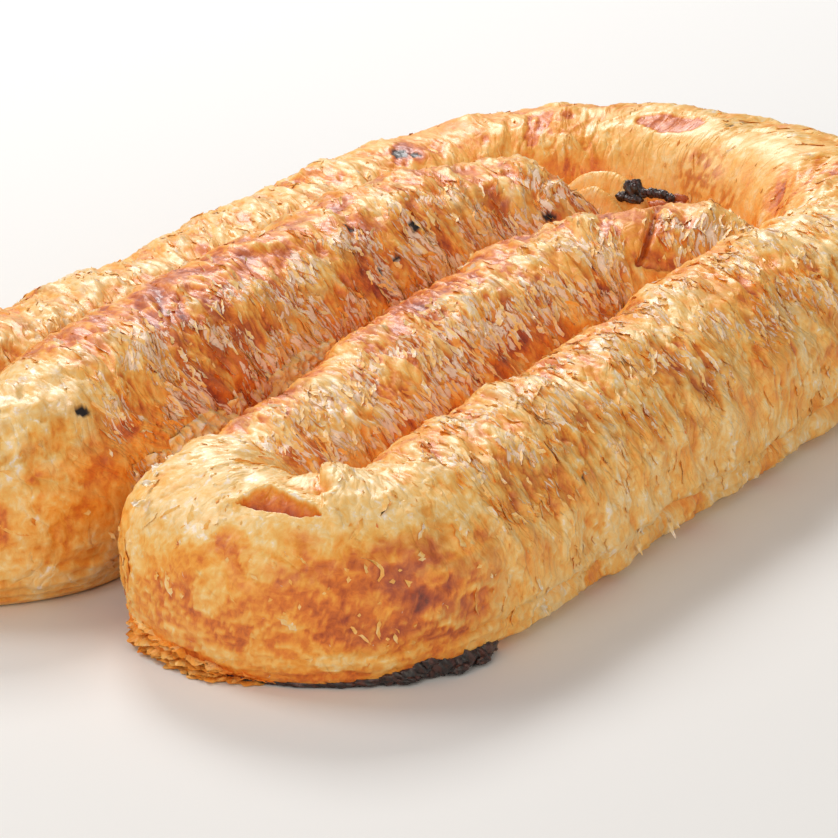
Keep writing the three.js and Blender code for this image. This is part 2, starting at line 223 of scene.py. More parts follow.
def route(s):
    s = np.atleast_1d(np.asarray(s, float))
    which = np.clip(np.searchsorted(STARTS, s, side="left") - 1, 0, len(RUNS) - 1)
    out = np.zeros(s.shape + (2,))
    for i, run in enumerate(RUNS):
        here = which == i
        share = (s[here] - STARTS[i]) / LENGTHS[i]
        if "x" in run:
            y = run["y"][0] + (run["y"][1] - run["y"][0]) * share
            x = np.full_like(y, run["x"])
            if run["lean"]:
                reach, start, end = run["lean"]
                x = x + reach * smooth((y - start) / (end - start))
            out[here] = np.stack([x, y], -1)
        else:
            left, right = run["sides"]
            angle = np.radians(run["angles"][0] + (run["angles"][1] - run["angles"][0]) * share)
            radius = (right - left) / 2
            out[here] = np.stack([(left + right) / 2 + radius * np.cos(angle),
                                  run["centre_y"] + radius * np.sin(angle)], -1)
    return out


def heading(s):
    return unit(route(np.minimum(s + 0.5, ROPE_LENGTH)) - route(np.maximum(s - 0.5, 0)))


def girth_table(column):
    return [(STARTS[i] + entry[0] * LENGTHS[i], entry[column])
            for i, run in enumerate(RUNS) for entry in run["girth"]]


HALF_WIDTHS = girth_table(1)
HEIGHTS = girth_table(2)
OPEN_TABLE = [pair for i, run in enumerate(RUNS) for pair in (
    (STARTS[i] + (0 if i == 0 else OPEN_RAMP), run["open"]),
    (STARTS[i + 1] - (0 if i == len(RUNS) - 1 else OPEN_RAMP), run["open"]))]


def bend_share(s):
    share = np.zeros_like(s)
    for i, run in enumerate(RUNS):
        if run["name"] in ("left_bend", "right_bend"):
            share = np.maximum(share, smooth((s - STARTS[i] + BEND_RAMP) / BEND_RAMP)
                               * smooth((STARTS[i + 1] - s + BEND_RAMP) / BEND_RAMP))
    return share


def lump_wave(s, phase):
    return sum(np.sin(2 * math.pi * s / length + phase * (i + 1))
               for i, length in enumerate(LUMP_LENGTHS))


def cut_at(cuts, s):
    past = s - STARTS[RIGHT_BEND]
    return (read_table([(place, width) for place, width, _ in cuts], past),
            read_table([(place, height) for place, _, height in cuts], past))


def girth(s):
    nearest = np.clip(np.minimum(s / LEFT_END_ROUND, (ROPE_LENGTH - s) / RIGHT_END_ROUND), 0, 1)
    whole = np.sqrt(1 - (1 - nearest) ** 2)
    half = read_table(HALF_WIDTHS, s) + WIDTH_WAVE * lump_wave(s, 1.3) / 2
    height = read_table(HEIGHTS, s) + HEIGHT_WAVE * lump_wave(s, 0.4) / 2
    bend = bend_share(s)
    inner = half * (1 - bend) + np.minimum(half, TIGHT_RADIUS - 0.8) * bend
    foot = INNER_FOOT_SHARE + (OUTER_FOOT_SHARE - INNER_FOOT_SHARE) * read_table(OPEN_TABLE, s)
    inner_cut, inner_drop = cut_at(INNER_CUTS, s)
    outer_cut, outer_drop = cut_at(OUTER_CUTS, s)
    height = height - inner_drop - outer_drop
    return (np.maximum((inner - inner_cut) * whole, 0.6), np.maximum((half - outer_cut) * whole, 0.6),
            height * (END_LIFT + (1 - END_LIFT) * whole), foot)


INNER_FOOT_POINTS = 5
TOP_POINTS = int(84 / COARSE)
OUTER_FOOT_POINTS = int(26 / COARSE)
UNDER_POINTS = 5


def section(s):
    """Rings from the inner foot over the top to the outer foot, then back underneath."""
    inner, outer, height, foot_share = (v[:, None] for v in girth(s))
    widest = np.minimum(WIDEST_HEIGHT, height * 0.5)
    down = np.linspace(math.pi / 2, 0, INNER_FOOT_POINTS + 1)[None, :-1]
    inner_foot = (inner * (INNER_FOOT_SHARE + (1 - INNER_FOOT_SHARE) * np.cos(down)),
                  widest * (1 - np.sin(down)))
    angle = np.linspace(0, math.pi, TOP_POINTS)[None]
    across = np.sign(np.cos(angle)) * np.abs(np.cos(angle)) ** SQUARENESS
    top = (np.where(across > 0, inner, outer) * across,
           widest + (height - widest) * np.abs(np.sin(angle)) ** SQUARENESS)
    down = np.linspace(0, math.pi / 2, OUTER_FOOT_POINTS + 1)[None, 1:]
    outer_foot = (-outer * (foot_share + (1 - foot_share) * np.cos(down)),
                  widest * (1 - np.sin(down)))
    share = np.linspace(0, 1, UNDER_POINTS + 2)[None, 1:-1]
    under = (-outer * foot_share * (1 - share) + inner * INNER_FOOT_SHARE * share,
             np.zeros_like(inner) + 0 * share)
    parts = (inner_foot, top, outer_foot, under)
    return (np.concatenate([p[0] for p in parts], 1), np.concatenate([p[1] for p in parts], 1))


def ring_places():
    places = []
    for i, run in enumerate(RUNS):
        count = max(int(LENGTHS[i] / (run["step"] * COARSE)), 4)
        places.append(STARTS[i] + LENGTHS[i] * np.arange(count) / count)
    s = np.concatenate(places + [[ROPE_LENGTH]])
    caps = np.array([0.02, 0.08, 0.2, 0.35, 0.6, 0.9, 1.25, 1.7])
    return np.unique(np.concatenate([s, caps, ROPE_LENGTH - caps]))


def rope_grid():
    s = ring_places()
    centre, ahead = route(s), heading(s)
    across, z = section(s)
    x = centre[:, :1] + ahead[:, 1:] * across
    y = centre[:, 1:] - ahead[:, :1] * across
    points = np.stack([x, y, z], -1)
    top = INNER_FOOT_POINTS + TOP_POINTS + OUTER_FOOT_POINTS
    skin = points[:, :top]
    gaps = np.linalg.norm(np.diff(skin, axis=1), axis=2)
    walked = np.concatenate([np.zeros((len(s), 1)), np.cumsum(gaps, 1)], 1)
    crest = INNER_FOOT_POINTS + TOP_POINTS // 2
    around = np.zeros(points.shape[:2])
    around[:, :top] = walked[:, crest:crest + 1] - walked
    around[:, top:] = around[:, top - 1:top]
    along_step = np.gradient(points, axis=0)
    around_step = (np.roll(points, -1, 1) - np.roll(points, 1, 1)) / 2
    normal = unit(np.cross(along_step, around_step))
    under = np.zeros(points.shape[1], bool)
    under[top:] = True
    return dict(s=np.repeat(s[:, None], points.shape[1], 1), t=around, w=across, p=points,
                n=normal, under=np.repeat(under[None], len(s), 0))


# The coil is set down with the middle of its outline over the origin.
def outline_middle(points):
    low, high = points.reshape(-1, 3).min(0), points.reshape(-1, 3).max(0)
    middle = -(low + high) / 2
    middle[2] = 0
    return middle


GRID = rope_grid()
MIDDLE = outline_middle(GRID["p"])


def place(points):
    return (points + MIDDLE) * MM


# ------------------------------------------------------------------ features seen on the crust

# Cuts and layer edges, as lines on the crust.
SLIT_START = np.array([45.1, -151.6, 37.9])
SLIT_ALONG = np.array([0.98, 0.20, 0.01])
SLIT_UPWARD = np.array([-0.18, 0.93, 0.32])
SLIT_TOP = ((-0.8, 0), (0.4, 2.1), (2.7, 4.8), (5, 6.2), (8.3, 4.8), (11, 3.5), (14, 2.6),
            (16.4, 1.9), (18.6, 0.4))
SLIT_BOTTOM = ((-0.8, 0), (4.3, -1.2), (11, -1.5), (14.2, -1.7), (18.6, -0.4))
SLIT_MIDDLE = np.array([53.5, -148.5, 38.8])
SLIT_REACH = 16.0
END_CRACK = ((33.6, 50.7, 43.7), (37.7, 42.2, 43.5), (40.2, 35.6, 41.8), (41.5, 30.9, 39.5),
             (41.8, 28.6, 38.5), (45.5, 32.0, 36.9))
SIDE_CRACK = ((60, 22.5, 43.2), (68, 18.5, 43), (72.6, 18, 42.6), (77.3, 16.5, 41.4),
              (80.7, 17, 39.7), (86.1, 14.5, 35.3), (89.7, 16, 29.3), (91.2, 16.5, 24.6))
LEDGE_CRACK_Z = 8.5
NOTCH_CREASE = ((45.5, -110, 24), (48.5, -120, 30), (52.5, -130, 36), (56, -137, 39.3),
                (59.1, -141.3, 40.4))
PLEAT_FOCUS = (50.6, 57.3, 42.3)

# Zones of the crust: place, radius, how much browner (or paler, below 0), how mauve.
ZONES = (
    # left inner limb: red-brown middle, orange crest, dark groove side in painted shade, pale top end
    ((-13, -80, 45), 17, 0.20, 0.30), ((-7, -70, 40), 12, 0.16, 0.35), ((-12, -124, 40), 15, 0.16, 0.25),
    ((-3, -88, 32), 13, 0.22, 0.15), ((-24, -42, 48), 17, 0.14, 0.0), ((-30, -70, 47), 18, 0.10, 0.0),
    ((-14, -35, 46), 13, -0.16, 0.0), ((-4, -50, 35), 11, -0.14, 0.0), ((-7, -12, 39), 8, 0.16, 0.35),
    ((-4, -14, 34), 7, 0.26, 0.2), ((-19, -5, 47), 9, 0.10, 0.25), ((-9, 12, 42), 10, 0.12, 0.3),
    ((-5, 22, 37), 9, 0.14, 0.2), ((-2, 50, 38), 11, 0.10, 0.3), ((-14, 38, 44), 15, -0.14, 0.05),
    ((-18, 62, 42), 14, -0.16, 0.0), ((-4, -122, 31), 12, 0.10, 0.0), ((-8, -142, 31), 13, 0.12, 0.0),
    ((-22, -126, 43), 20, -0.16, 0.0), ((-34, -142, 38), 20, -0.12, 0.0), ((-40, -130, 40), 16, -0.10, 0.0),
    # right inner limb: orange crest, pale mauve middle, deep brown low down towards the groove in painted
    # shade, red patch at its end
    ((15, -38, 42), 12, 0.12, 0.0), ((16, -20, 42), 12, 0.12, 0.05), ((18, 2, 42), 12, 0.12, 0.0),
    ((25, -58, 41), 9, 0.14, 0.3), ((30, -18, 41), 12, -0.06, 0.2), ((28, 10, 43), 14, -0.14, 0.15),
    ((37, 26, 41), 11, -0.10, 0.15), ((38, -4, 36), 12, 0.16, 0.15), ((37, -18, 37), 9, 0.14, 0.2),
    ((41, -46, 32), 15, 0.16, 0.05), ((41, -24, 33), 13, 0.20, 0.05), ((40, 12, 35), 10, 0.10, 0.2),
    ((29, 43, 44), 9, 0.24, 0.2), ((31, -88, 38), 14, -0.14, 0.0), ((33, -104, 36), 14, -0.10, 0.05),
    ((39, -68, 33), 10, 0.12, 0.0), ((41, -80, 30), 9, 0.18, 0.15), ((37, -114, 31), 10, 0.20, 0.1),
    # right outer limb: golden inner edge, pale crest with mauve patches, creamy side
    ((62, -92, 41), 13, 0.02, 0.0), ((60, -50, 41), 14, 0.02, 0.0), ((62, -10, 42), 14, 0.04, 0.0),
    ((74, -73, 42), 11, -0.08, 0.2), ((72, -43, 42), 12, -0.10, 0.1), ((84, -28, 37), 9, 0.12, 0.4),
    ((89, -26, 30), 7, 0.14, 0.45), ((84, -64, 37), 10, 0.06, 0.2), ((88, -104, 32), 11, 0.10, 0.4),
    ((80, -8, 39), 12, -0.12, 0.05), ((77, -118, 39), 11, 0.06, 0.05), ((92, -60, 21), 14, -0.10, 0.0),
    ((92, -20, 20), 15, -0.10, 0.0), ((92, 20, 20), 15, -0.08, 0.0), ((89, 8, 31), 9, 0.08, 0.35),
    ((90, 36, 30), 10, 0.02, 0.3),
    # right bend: creamy top, orange belly, mauve right flank
    ((30, -150, 35), 15, -0.12, 0.0), ((24, -154, 25), 14, -0.10, 0.0), ((40, -152, 38), 10, -0.06, 0.0),
    ((61, -158, 29), 10, 0.10, 0.05), ((69, -154, 28), 11, 0.15, 0.1), ((77, -146, 31), 12, 0.14, 0.1),
    ((49, -161, 28), 10, 0.06, 0.0), ((83, -138, 29), 12, 0.12, 0.3), ((87, -134, 21), 12, 0.18, 0.4),
    ((77, -150, 19), 12, 0.10, 0.25), ((65, -145, 39), 8, -0.10, 0.05), ((70, -140, 38), 10, -0.08, 0.0),
    ((66, -159, 16), 10, 0.10, 0.0), ((84, -142, 12), 9, 0.16, 0.1),
    # bow and left outer limb
    ((-60, 112, 33), 16, 0.04, 0.0), ((-48, 126, 33), 13, 0.08, 0.0), ((-66, 96, 31), 9, 0.16, 0.3),
    ((-17, 146, 36), 15, -0.10, 0.0), ((10, 146, 36), 14, -0.14, 0.0), ((30, 140, 37), 15, -0.14, 0.0),
    ((60, 90, 39), 18, -0.16, 0.0), ((68, 58, 42), 20, -0.24, 0.0), ((50, 75, 40), 18, -0.18, 0.0),
    ((-71, -30, 32), 22, -0.10, 0.10),
    ((-72, 30, 30), 22, -0.12, 0.0), ((-70, -80, 33), 14, 0.08, 0.2),
)

# Small burnt spots, and spots of reddish crust beside the burnt filling: place and radius.
BURNT_SPOTS = (
    ((-65.4, 92.3, 31.1), 3.2), ((-61.5, 93.6, 31.3), 2.0), ((-18.5, -6.0, 46.9), 1.7),
    ((-10.8, 10.5, 43.5), 1.8), ((1.2, 55.1, 34.8), 2.6), ((-12.0, -128.3, 40.0), 2.4),
    ((14.8, -109.4, 41.6), 1.4), ((89.9, -81.5, 29.4), 1.0), ((5.2, 142.8, 36.6), 1.0),
    ((-7.1, -11.0, 39.2), 1.3), ((-7.5, -3.0, 39.5), 1.3), ((-8.2, -17.0, 38.8), 1.0),
)
REDDISH_SPOTS = (((5, 127.5, 27), 7), ((14, 118, 24), 6))

# Marks told by where they lie along the rope: from, to, and how softly they start and stop.
# BOW_SHADE marks where painted shade darkens the bow's inner wall in the hollow.
BOW_SHADE = (528, 572, 9)
BOW_YELLOW = (574, 640, 10)
FRONT_BAND = (906, 944, 8)
FRONT_FLANK = (896, 918, 7)
END_DARK = (ROPE_LENGTH - 34, ROPE_LENGTH - 6, 6)
# The bare patch on the bow: place along and across the rope, and its half sizes.
BARE_AT = (586.5, 6.5)
BARE_HALF = (10.5, 4.6)
BARE_TONE = 0.75

# Flakes that lie on the crust or have come away from it.
FLAKE_SEED = 7
FLAKE_COUNT = 9000
AWAY_SHARE = 0.3
PALEST = 0.11


def near_line(points, line):
    """Distance to a line of points, the share along it, and the side of it seen from above."""
    line = np.array(line, float)
    best = np.full(points.shape[:-1], 1e9)
    along = np.zeros_like(best)
    side = np.zeros_like(best)
    spans = np.linalg.norm(np.diff(line, axis=0), axis=1)
    total = spans.sum()
    for i in range(len(line) - 1):
        start, step = line[i], line[i + 1] - line[i]
        share = np.clip(((points - start) @ step) / (step @ step), 0, 1)
        gap = points - (start + share[..., None] * step)
        distance = np.linalg.norm(gap, axis=-1)
        closer = distance < best
        best = np.where(closer, distance, best)
        along = np.where(closer, (spans[:i].sum() + share * spans[i]) / total, along)
        side = np.where(closer, np.sign(step[0] * gap[..., 1] - step[1] * gap[..., 0]), side)
    return best, along, side


def near_point(points, centre, radius, soft):
    return 1 - rise(np.linalg.norm(points - np.array(centre, float), axis=-1), radius - soft, radius + soft)


# ------------------------------------------------------------------ relief and colour of the crust

SWAY_CREST, SWAY_SIDE = 0.55, -0.45
SWAY_FROM, SWAY_TO = 9.0, 27.0


def sway_slope(t):
    """How far a wrinkle drifts along the rope for each millimetre around it."""
    return SWAY_CREST + (SWAY_SIDE - SWAY_CREST) * rise(np.abs(t), SWAY_FROM, SWAY_TO)


def sway(t):
    reach = np.linspace(0, 90, 181)
    walked = np.concatenate([[0], np.cumsum(sway_slope((reach[1:] + reach[:-1]) / 2) * np.diff(reach))])
    return np.sign(t) * np.interp(np.abs(t), reach, walked)


def wisp_share(s, t):
    """How thickly torn wisps lie at a place of the crust, from 0 to 1."""
    on_b = s < L0
    on_c = s > C0 - 6
    on_d = (s > D0) & (s < R0)
    share = np.where(on_b, 0.95 * (1 - 0.88 * rise(t, -12, 0)), 0.3)
    share = np.where(on_c, 0.08 + 0.87 * rise(t, -4, 9), share)
    share = np.where(on_d, 0.8 * (1 - 0.75 * rise(t, 2, 14)) * (1 - 0.8 * rise(-t, 20, 32)), share)
    share = np.where((s > A0) & (s < W0), 0.4, share)
    share = np.where((s > L0) & (s < A0), 0.10, share)
    share = np.where((s > W0) & (s < D0), 0.05 + 0.15 * rise(s, 650, 700), share)
    share = np.where((s > R0) & (s < C0 - 6), 0.14, share)
    clumps = layers(s / 15, t / 12, 141, 2)
    return share * (0.12 + 0.88 * rise(clumps, -0.35, 0.25))


def slit_place(p):
    """How far inside the opening of the slit a point is, and its share up the opening."""
    offset = p - SLIT_START
    along, upward = offset @ SLIT_ALONG, offset @ SLIT_UPWARD
    low, high = read_table(SLIT_BOTTOM, along), read_table(SLIT_TOP, along)
    off_end = np.maximum(np.abs(along - 8.9) - 9.7, 0)
    near = np.linalg.norm(p - SLIT_MIDDLE, axis=-1) < SLIT_REACH
    inside = np.where(near, np.minimum(upward - low, high - upward) - off_end, -20.0)
    return inside, np.clip((upward - low) / np.maximum(high - low, 0.3), 0, 1), upward - high


def lay_flakes(grid, detail, tone, keep):
    """Lays thousands of ragged flakes over each other: each flattens what is under it, ends in a
    lifted edge and has a colour of its own. Some are places where a flake has come away."""
    chance = np.random.default_rng(FLAKE_SEED)
    s, t = grid["s"], grid["t"]
    ring_s = s[:, 0]
    rag_one = layers(s / 1.9, t / 1.9, 201, 2)
    rag_two = layers(s / 3.1 + 40, t / 3.1, 203, 2)
    skin = INNER_FOOT_POINTS + TOP_POINTS + OUTER_FOOT_POINTS
    for _ in range(FLAKE_COUNT):
        away = chance.random() < AWAY_SHARE
        middle = chance.uniform(0, ROPE_LENGTH)
        across = chance.uniform(-56, 46)
        half_long = chance.uniform(1.8, 7.5) * (0.8 if away else 1.0)
        half_wide = half_long * chance.uniform(0.55, 0.9) if away else chance.uniform(0.7, 2.6)
        turn = math.atan(float(sway_slope(across))) + chance.normal(0, 0.32)
        lift = -chance.uniform(0.15, 0.4) if away else chance.uniform(0.15, 0.6)
        shift = chance.uniform(0.04, 0.3) if away else chance.uniform(-0.26, 0.1)
        edge_side = 1 if chance.random() < 0.65 else -1
        mix = chance.uniform(-1, 1)
        strength = chance.random()
        reach = half_long + 1.5
        first, last = np.searchsorted(ring_s, (middle - reach, middle + reach))
        if last - first < 2:
            continue
        row_t = t[(first + last) // 2, :skin]
        near = np.nonzero(np.abs(row_t - across) < reach)[0]
        if len(near) < 2:
            continue
        block = (slice(first, last), slice(near[0], near[-1] + 1))
        if strength > keep[block][len(keep[block]) // 2, 0]:
            continue
        ds, dt = s[block] - middle, t[block] - across
        u = math.cos(turn) * dt - math.sin(turn) * ds
        v = math.sin(turn) * dt + math.cos(turn) * ds
        rag = 0.3 * (mix * rag_one[block] + (1 - abs(mix)) * rag_two[block])
        radius = np.sqrt((u / half_long) ** 2 + (v / half_wide) ** 2) + rag
        soft = 0.22 / half_wide
        mask = 1 - rise(radius, 1 - soft, 1 + soft)
        wedge = 0.3 + 0.7 * np.clip(0.5 + 0.5 * edge_side * v / half_wide, 0, 1)
        if away:
            wedge = 1.0
        rim = np.exp(-((radius - 0.9) / 0.14) ** 2)
        detail[block] += mask * (lift * wedge - 0.55 * detail[block])
        tone[block] += mask * (shift - 0.6 * tone[block]) - (0 if away else 0.06) * rim * mask


def crust(grid):
    """Height of the relief and the colour fields at every point of the rope."""
    s, t, p, n = grid["s"], grid["t"], grid["p"], grid["n"]
    z = p[..., 2]
    on_b = 1 - rise(s, L0 - 14, L0 + 6)
    on_left = between(s, L0, A0, 10)
    on_a = between(s, A0, W0, 10)
    on_bow = between(s, W0, D0, 14)
    on_d = between(s, D0, R0, 14)
    on_front = between(s, R0, C0, 12)
    on_c = rise(s, C0 - 10, C0 + 14)
    shares = dict(b=on_b, left=on_left, a=on_a, bow=on_bow, d=on_d, front=on_front, c=on_c)

    def by_run(**weights):
        return sum(weight * shares[run] for run, weight in weights.items())

    up = n[..., 2]
    outer = np.clip(-t, 0, None)
    low_side = 1 - rise(z, 9, 19)

    # the sheet of dough drifts, so nothing runs dead straight across the limb
    drift = 4.0 * layers(s / 26, t / 30, 3, 2) + 1.1 * layers(s / 7, t / 12, 5, 2)
    swaying = 1 - 0.8 * np.clip(on_front + on_left + on_bow, 0, 1)
    sw = s + drift + swaying * sway(t)
    tw = t + 3.0 * layers(s / 15, t / 15, 9, 2)

    # creases of the outer sheets
    fine = ridge(sw / 2.6, tw / 10, 21, 1.3)
    fine2 = ridge(sw / 1.9 + 0.4 * tw / 6, tw / 7, 23, 1.2)
    middle = ridge(sw / 5.4, tw / 17, 25, 1.2)
    broad = layers(sw / 12, tw / 16, 27, 2)
    lumps = layers(s / 24, t / 26, 29, 2)
    patchy = rise(layers(s / 16, t / 14, 31, 2), -0.25, 0.35)
    strong = by_run(b=0.95, c=0.95, d=0.72, front=0.22, bow=0.3, a=0.6, left=0.8)
    strong = strong * (0.35 + 0.65 * patchy) * (1 - 0.55 * low_side)
    # the crest away from the open side of each limb is smooth
    away = on_b * rise(t, 0, 14) + on_c * (1 - rise(t, -14, 0)) + on_d * rise(t, 4, 16)
    strong = strong * (1 - 0.6 * away) * (1 - 0.72 * on_d * rise(outer, 16, 30))

    # flat sheets that lie over each other and end in ragged edges
    rag = 0.10 * layers(s / 2.4, t / 3.2, 41, 2)
    sheet_field = layers(sw / 13, tw / 18, 43, 3) + rag
    sheet_field2 = layers(sw / 7 + 5, tw / 9, 45, 3) + rag
    sheets = np.zeros_like(s)
    edge = np.zeros_like(s)
    for level, height in ((-0.28, 0.35), (0.02, 0.45), (0.3, 0.4)):
        sheets = sheets + height * rise(sheet_field, level - 0.022, level + 0.022)
        edge = np.maximum(edge, np.exp(-((sheet_field - level - 0.03) / 0.03) ** 2))
    for level, height in ((-0.2, 0.22), (0.22, 0.25)):
        sheets = sheets + height * rise(sheet_field2, level - 0.035, level + 0.035)
        edge = np.maximum(edge, 0.7 * np.exp(-((sheet_field2 - level - 0.04) / 0.04) ** 2))

    creases = strong * (0.6 * (fine - 0.3) + 0.35 * (fine2 - 0.3) + 0.6 * (middle - 0.25))
    folds = (0.4 + 0.6 * strong) * (ridge(sw / 10.5, tw / 34, 35, 1.1) - 0.35)
    flake_height, flake_tone = 0.6 * creases, np.zeros_like(s)
    keep = np.clip(0.25 + 0.85 * strong, 0, 1)
    lay_flakes(grid, flake_height, flake_tone, keep)
    calm = 1 - 0.55 * np.clip(on_front + on_bow, 0, 1)
    relief = (0.8 * lumps + 0.7 * broad + 1.1 * calm * folds + 0.4 * creases
              + (1 - 0.4 * on_front) * flake_height + 0.7 * calm * sheets - 0.6)
    # blisters on the front bend
    blister = rise(layers(s / 5.2, t / 5.2, 51, 2), 0.32, 0.6)
    relief = relief + 0.35 * blister * np.clip(on_front + 0.5 * on_d + 0.4 * on_left, 0, 1)

    # laminated layers low on the open sides
    lam_drift = 1.5 * layers(s / 30, t / 30, 61, 2) + 0.5 * layers(s / 8, t / 6, 63, 2)
    lam = np.abs(((z + lam_drift) / 2.3) % 1.0 - 0.5) * 2
    open_side = rise(outer, 24, 32)
    lam_amount = (1 - 0.45 * on_front) * open_side * low_side
    lam_amount = lam_amount * (0.4 + 0.6 * rise(layers(s / 22, z / 5, 65, 2), -0.3, 0.2))
    relief = relief + lam_amount * (0.85 * rise(lam, 0.1, 0.5) - 0.55)
    ledge_z = LEDGE_CRACK_Z + 1.6 * layers(s / 40, 0 * s, 67, 2)
    ledge = np.exp(-((z - ledge_z) / 0.8) ** 2) * open_side * rise(
        layers(s / 30, 0 * s + 3, 69, 2), -0.15, 0.15) * by_run(d=1, front=0.1, left=0.3)
    relief = relief - 2.6 * ledge
    relief = relief + 0.7 * open_side * np.exp(-((z - ledge_z - 3.2) / 2.0) ** 2) * on_d
    relief = relief + 1.3 * open_side * np.exp(-((z - 4.0) / 2.2) ** 2) * on_d

    # colour: 0 pale cream, about 0.4 golden, 0.65 orange brown, 1 deep red brown
    # tops and sides take their own tones, partly the crust's own colour and partly painted light: the
    # bends' tops paler where light falls on them, the sides a deeper orange for painted shade and warm
    # reflected light
    crest_tone = by_run(b=0.52, c=0.50, d=0.33, front=0.12, bow=0.38, a=0.34, left=0.10)
    side_tone = by_run(b=0.50, c=0.50, d=0.31, front=0.43, bow=0.38, a=0.40, left=0.38)
    top_share = rise(up, 0.15, 0.75)
    inner_glow = (0.18 * on_d * rise(t, 0, 12) + 0.08 * on_c * (1 - rise(t, -8, 6))
                  + 0.05 * on_b * between(t, -12, 10, 6))
    tone = blend(side_tone, crest_tone, top_share) + inner_glow
    zones = layers(s / 26, t / 20, 71, 2)
    patches = layers(sw / 7, tw / 9, 73, 3)
    lively = 1 - 0.35 * np.clip(on_front + on_bow + on_a, 0, 1)
    tone = tone + lively * (0.10 * zones + (0.13 + 0.05 * top_share) * patches) + 0.85 * flake_tone
    # places where a flake has come away: flat, with crisp ragged rims
    bare = rise(layers(s / 6, t / 6, 131, 4, 0.62), 0.12, 0.17)
    bare = bare * (on_d * rise(outer, 4, 12) * (1 - rise(outer, 32, 40))
                   + by_run(front=0.6, left=0.7, b=0.5, c=0.5, a=0.45, bow=0.3))
    relief = relief - 0.3 * bare
    tone = tone + 0.12 * bare
    crests = np.clip(0.9 * fine * fine + 0.5 * fine2 * fine2 + 0.6 * middle ** 2, 0, 1.3)
    # crests of the creases and the sheet edges are painted paler, partly their own paler colour and partly
    # a painted highlight where they catch the light
    tone = tone - 0.30 * strong * (crests - 0.35) - 0.16 * edge * (0.4 + 0.6 * strong)
    tone = tone + 0.10 * (0.6 - sheets) * (0.5 + 0.5 * top_share)
    # painted shade darkens the carved crack of the ledge; the laminated layers themselves are paler
    tone = tone - 0.10 * lam_amount + 0.2 * ledge
    # painted shade: the grooves between limbs are darkened to a deeper orange where shade falls, the left
    # inner limb's side towards the right inner limb more so
    groove = rise(t, 30, 42) + (1 - open_side) * rise(-t, 30, 42)
    tone = tone + 0.22 * groove + 0.12 * on_b * rise(-t, 26, 36)

    mauve = rise(layers(sw / 7, tw / 8, 81, 4, 0.6), 0.08, 0.38) * top_share
    mauve = mauve * by_run(b=0.28, c=0.28, d=0.20, a=0.2, bow=0.1, left=0.2)
    mauve = mauve + 0.12 * bare * (1 - 0.5 * on_front)
    char = np.zeros_like(s)
    blotch = 0.75 + 0.5 * patches
    for centre, radius, browner, redder in ZONES:
        distance = np.linalg.norm(p - np.array(centre, float), axis=-1)
        share = (1 - rise(distance + 3.0 * zones, 0.35 * radius, 1.25 * radius)) * np.clip(blotch, 0, 1.3)
        tone = tone + browner * share
        mauve = mauve + 0.7 * redder * share * rise(patches, -0.2, 0.5)

    # the slit at the front bend is a patch of its own; here are its lips, and room for the patch
    inside, _, above = slit_place(p)
    relief = relief * (1 - 0.5 * rise(inside, -6, -1))
    relief = relief + 1.1 * rise(above, -0.6, 0.4) * (1 - rise(above, 0.4, 5)) * rise(inside, -6, -3)
    uncut = relief.copy()
    room = rise(inside, -1.4, 0.4)
    relief = relief - 5.0 * room

    # the groove between the right limbs runs on as a crease, with the outer limb's edge above it
    gap, along, side = near_line(p, NOTCH_CREASE)
    signed = gap * side + 0.5 * layers(s / 4, t / 4, 107, 2)
    near = (1 - rise(gap, 7, 11)) * rise(along, 0.02, 0.2) * (1 - 0.5 * rise(along, 0.85, 1.0))
    step = (-2.6 * near * np.exp(-(signed / 1.5) ** 2)
            + near * (1.4 * rise(signed, 0.4, 3.0) * (1 - rise(signed, 3, 9))
                      - 0.6 * rise(-signed, 0.4, 3)))
    relief, uncut = relief + step, uncut + step
    # painted shade darkens the crease and the low side under the outer limb's edge
    tone = tone + near * (0.35 * np.exp(-(signed / 1.8) ** 2) + 0.12 * rise(-signed, 0.5, 3))

    # the crack and the smooth flap on the right free end
    gap, along, side = near_line(p, END_CRACK)
    width = 0.2 + 0.35 * np.sin(np.pi * np.clip(along, 0, 1))
    cut = (1 - rise(gap, width, width + 0.6)) * on_c
    flap = on_c * (side < 0) * (1 - rise(gap, 8, 12)) * rise(gap, 0.3, 1.2) * (s > ROPE_LENGTH - 40)
    relief = relief * (1 - 0.6 * flap) - 1.7 * cut + 0.8 * flap * (1 - rise(gap, 2, 11))
    tone = blend(tone, 0.47, 0.75 * flap)
    end_pale = on_c * rise(s, ROPE_LENGTH - 30, ROPE_LENGTH - 18) * (1 - flap)
    tone = blend(tone, 0.26, 0.55 * end_pale)
    dark_side = on_c * (side > 0) * (1 - rise(gap, 3, 9)) * between(s, *END_DARK)
    dark_side = dark_side * rise(layers(s / 2.5, t / 2.5, 139, 3), -0.2, 0.1)
    tone = tone + 0.24 * dark_side
    # painted shade darkens the inside of the crack
    tone = np.maximum(tone, 0.8 * cut)
    mauve = mauve * (1 - flap)

    # the long layer edge across the right limb
    gap, along, side = near_line(p, SIDE_CRACK)
    wander = 0.7 * layers(s / 3, t / 3, 85, 2)
    signed = gap * side + wander
    near = (1 - rise(gap, 12, 17)) * on_d * between(along, 0.02, 0.98, 0.05)
    step = rise(-signed, -0.3, 0.3)
    relief = relief + near * (0.8 * step - 0.8 * np.exp(-((signed - 0.5) / 0.6) ** 2))
    flat_near = near * rise(-signed, 0.6, 1.6) * (1 - rise(-signed, 9, 14))
    relief = relief - flat_near * strong * 0.35 * (middle + fine)
    tone = blend(tone, 0.42, 0.7 * flat_near)
    # painted shade darkens the groove at the foot of the step
    tone = tone + 0.45 * near * np.exp(-((signed - 0.5) / 0.7) ** 2)

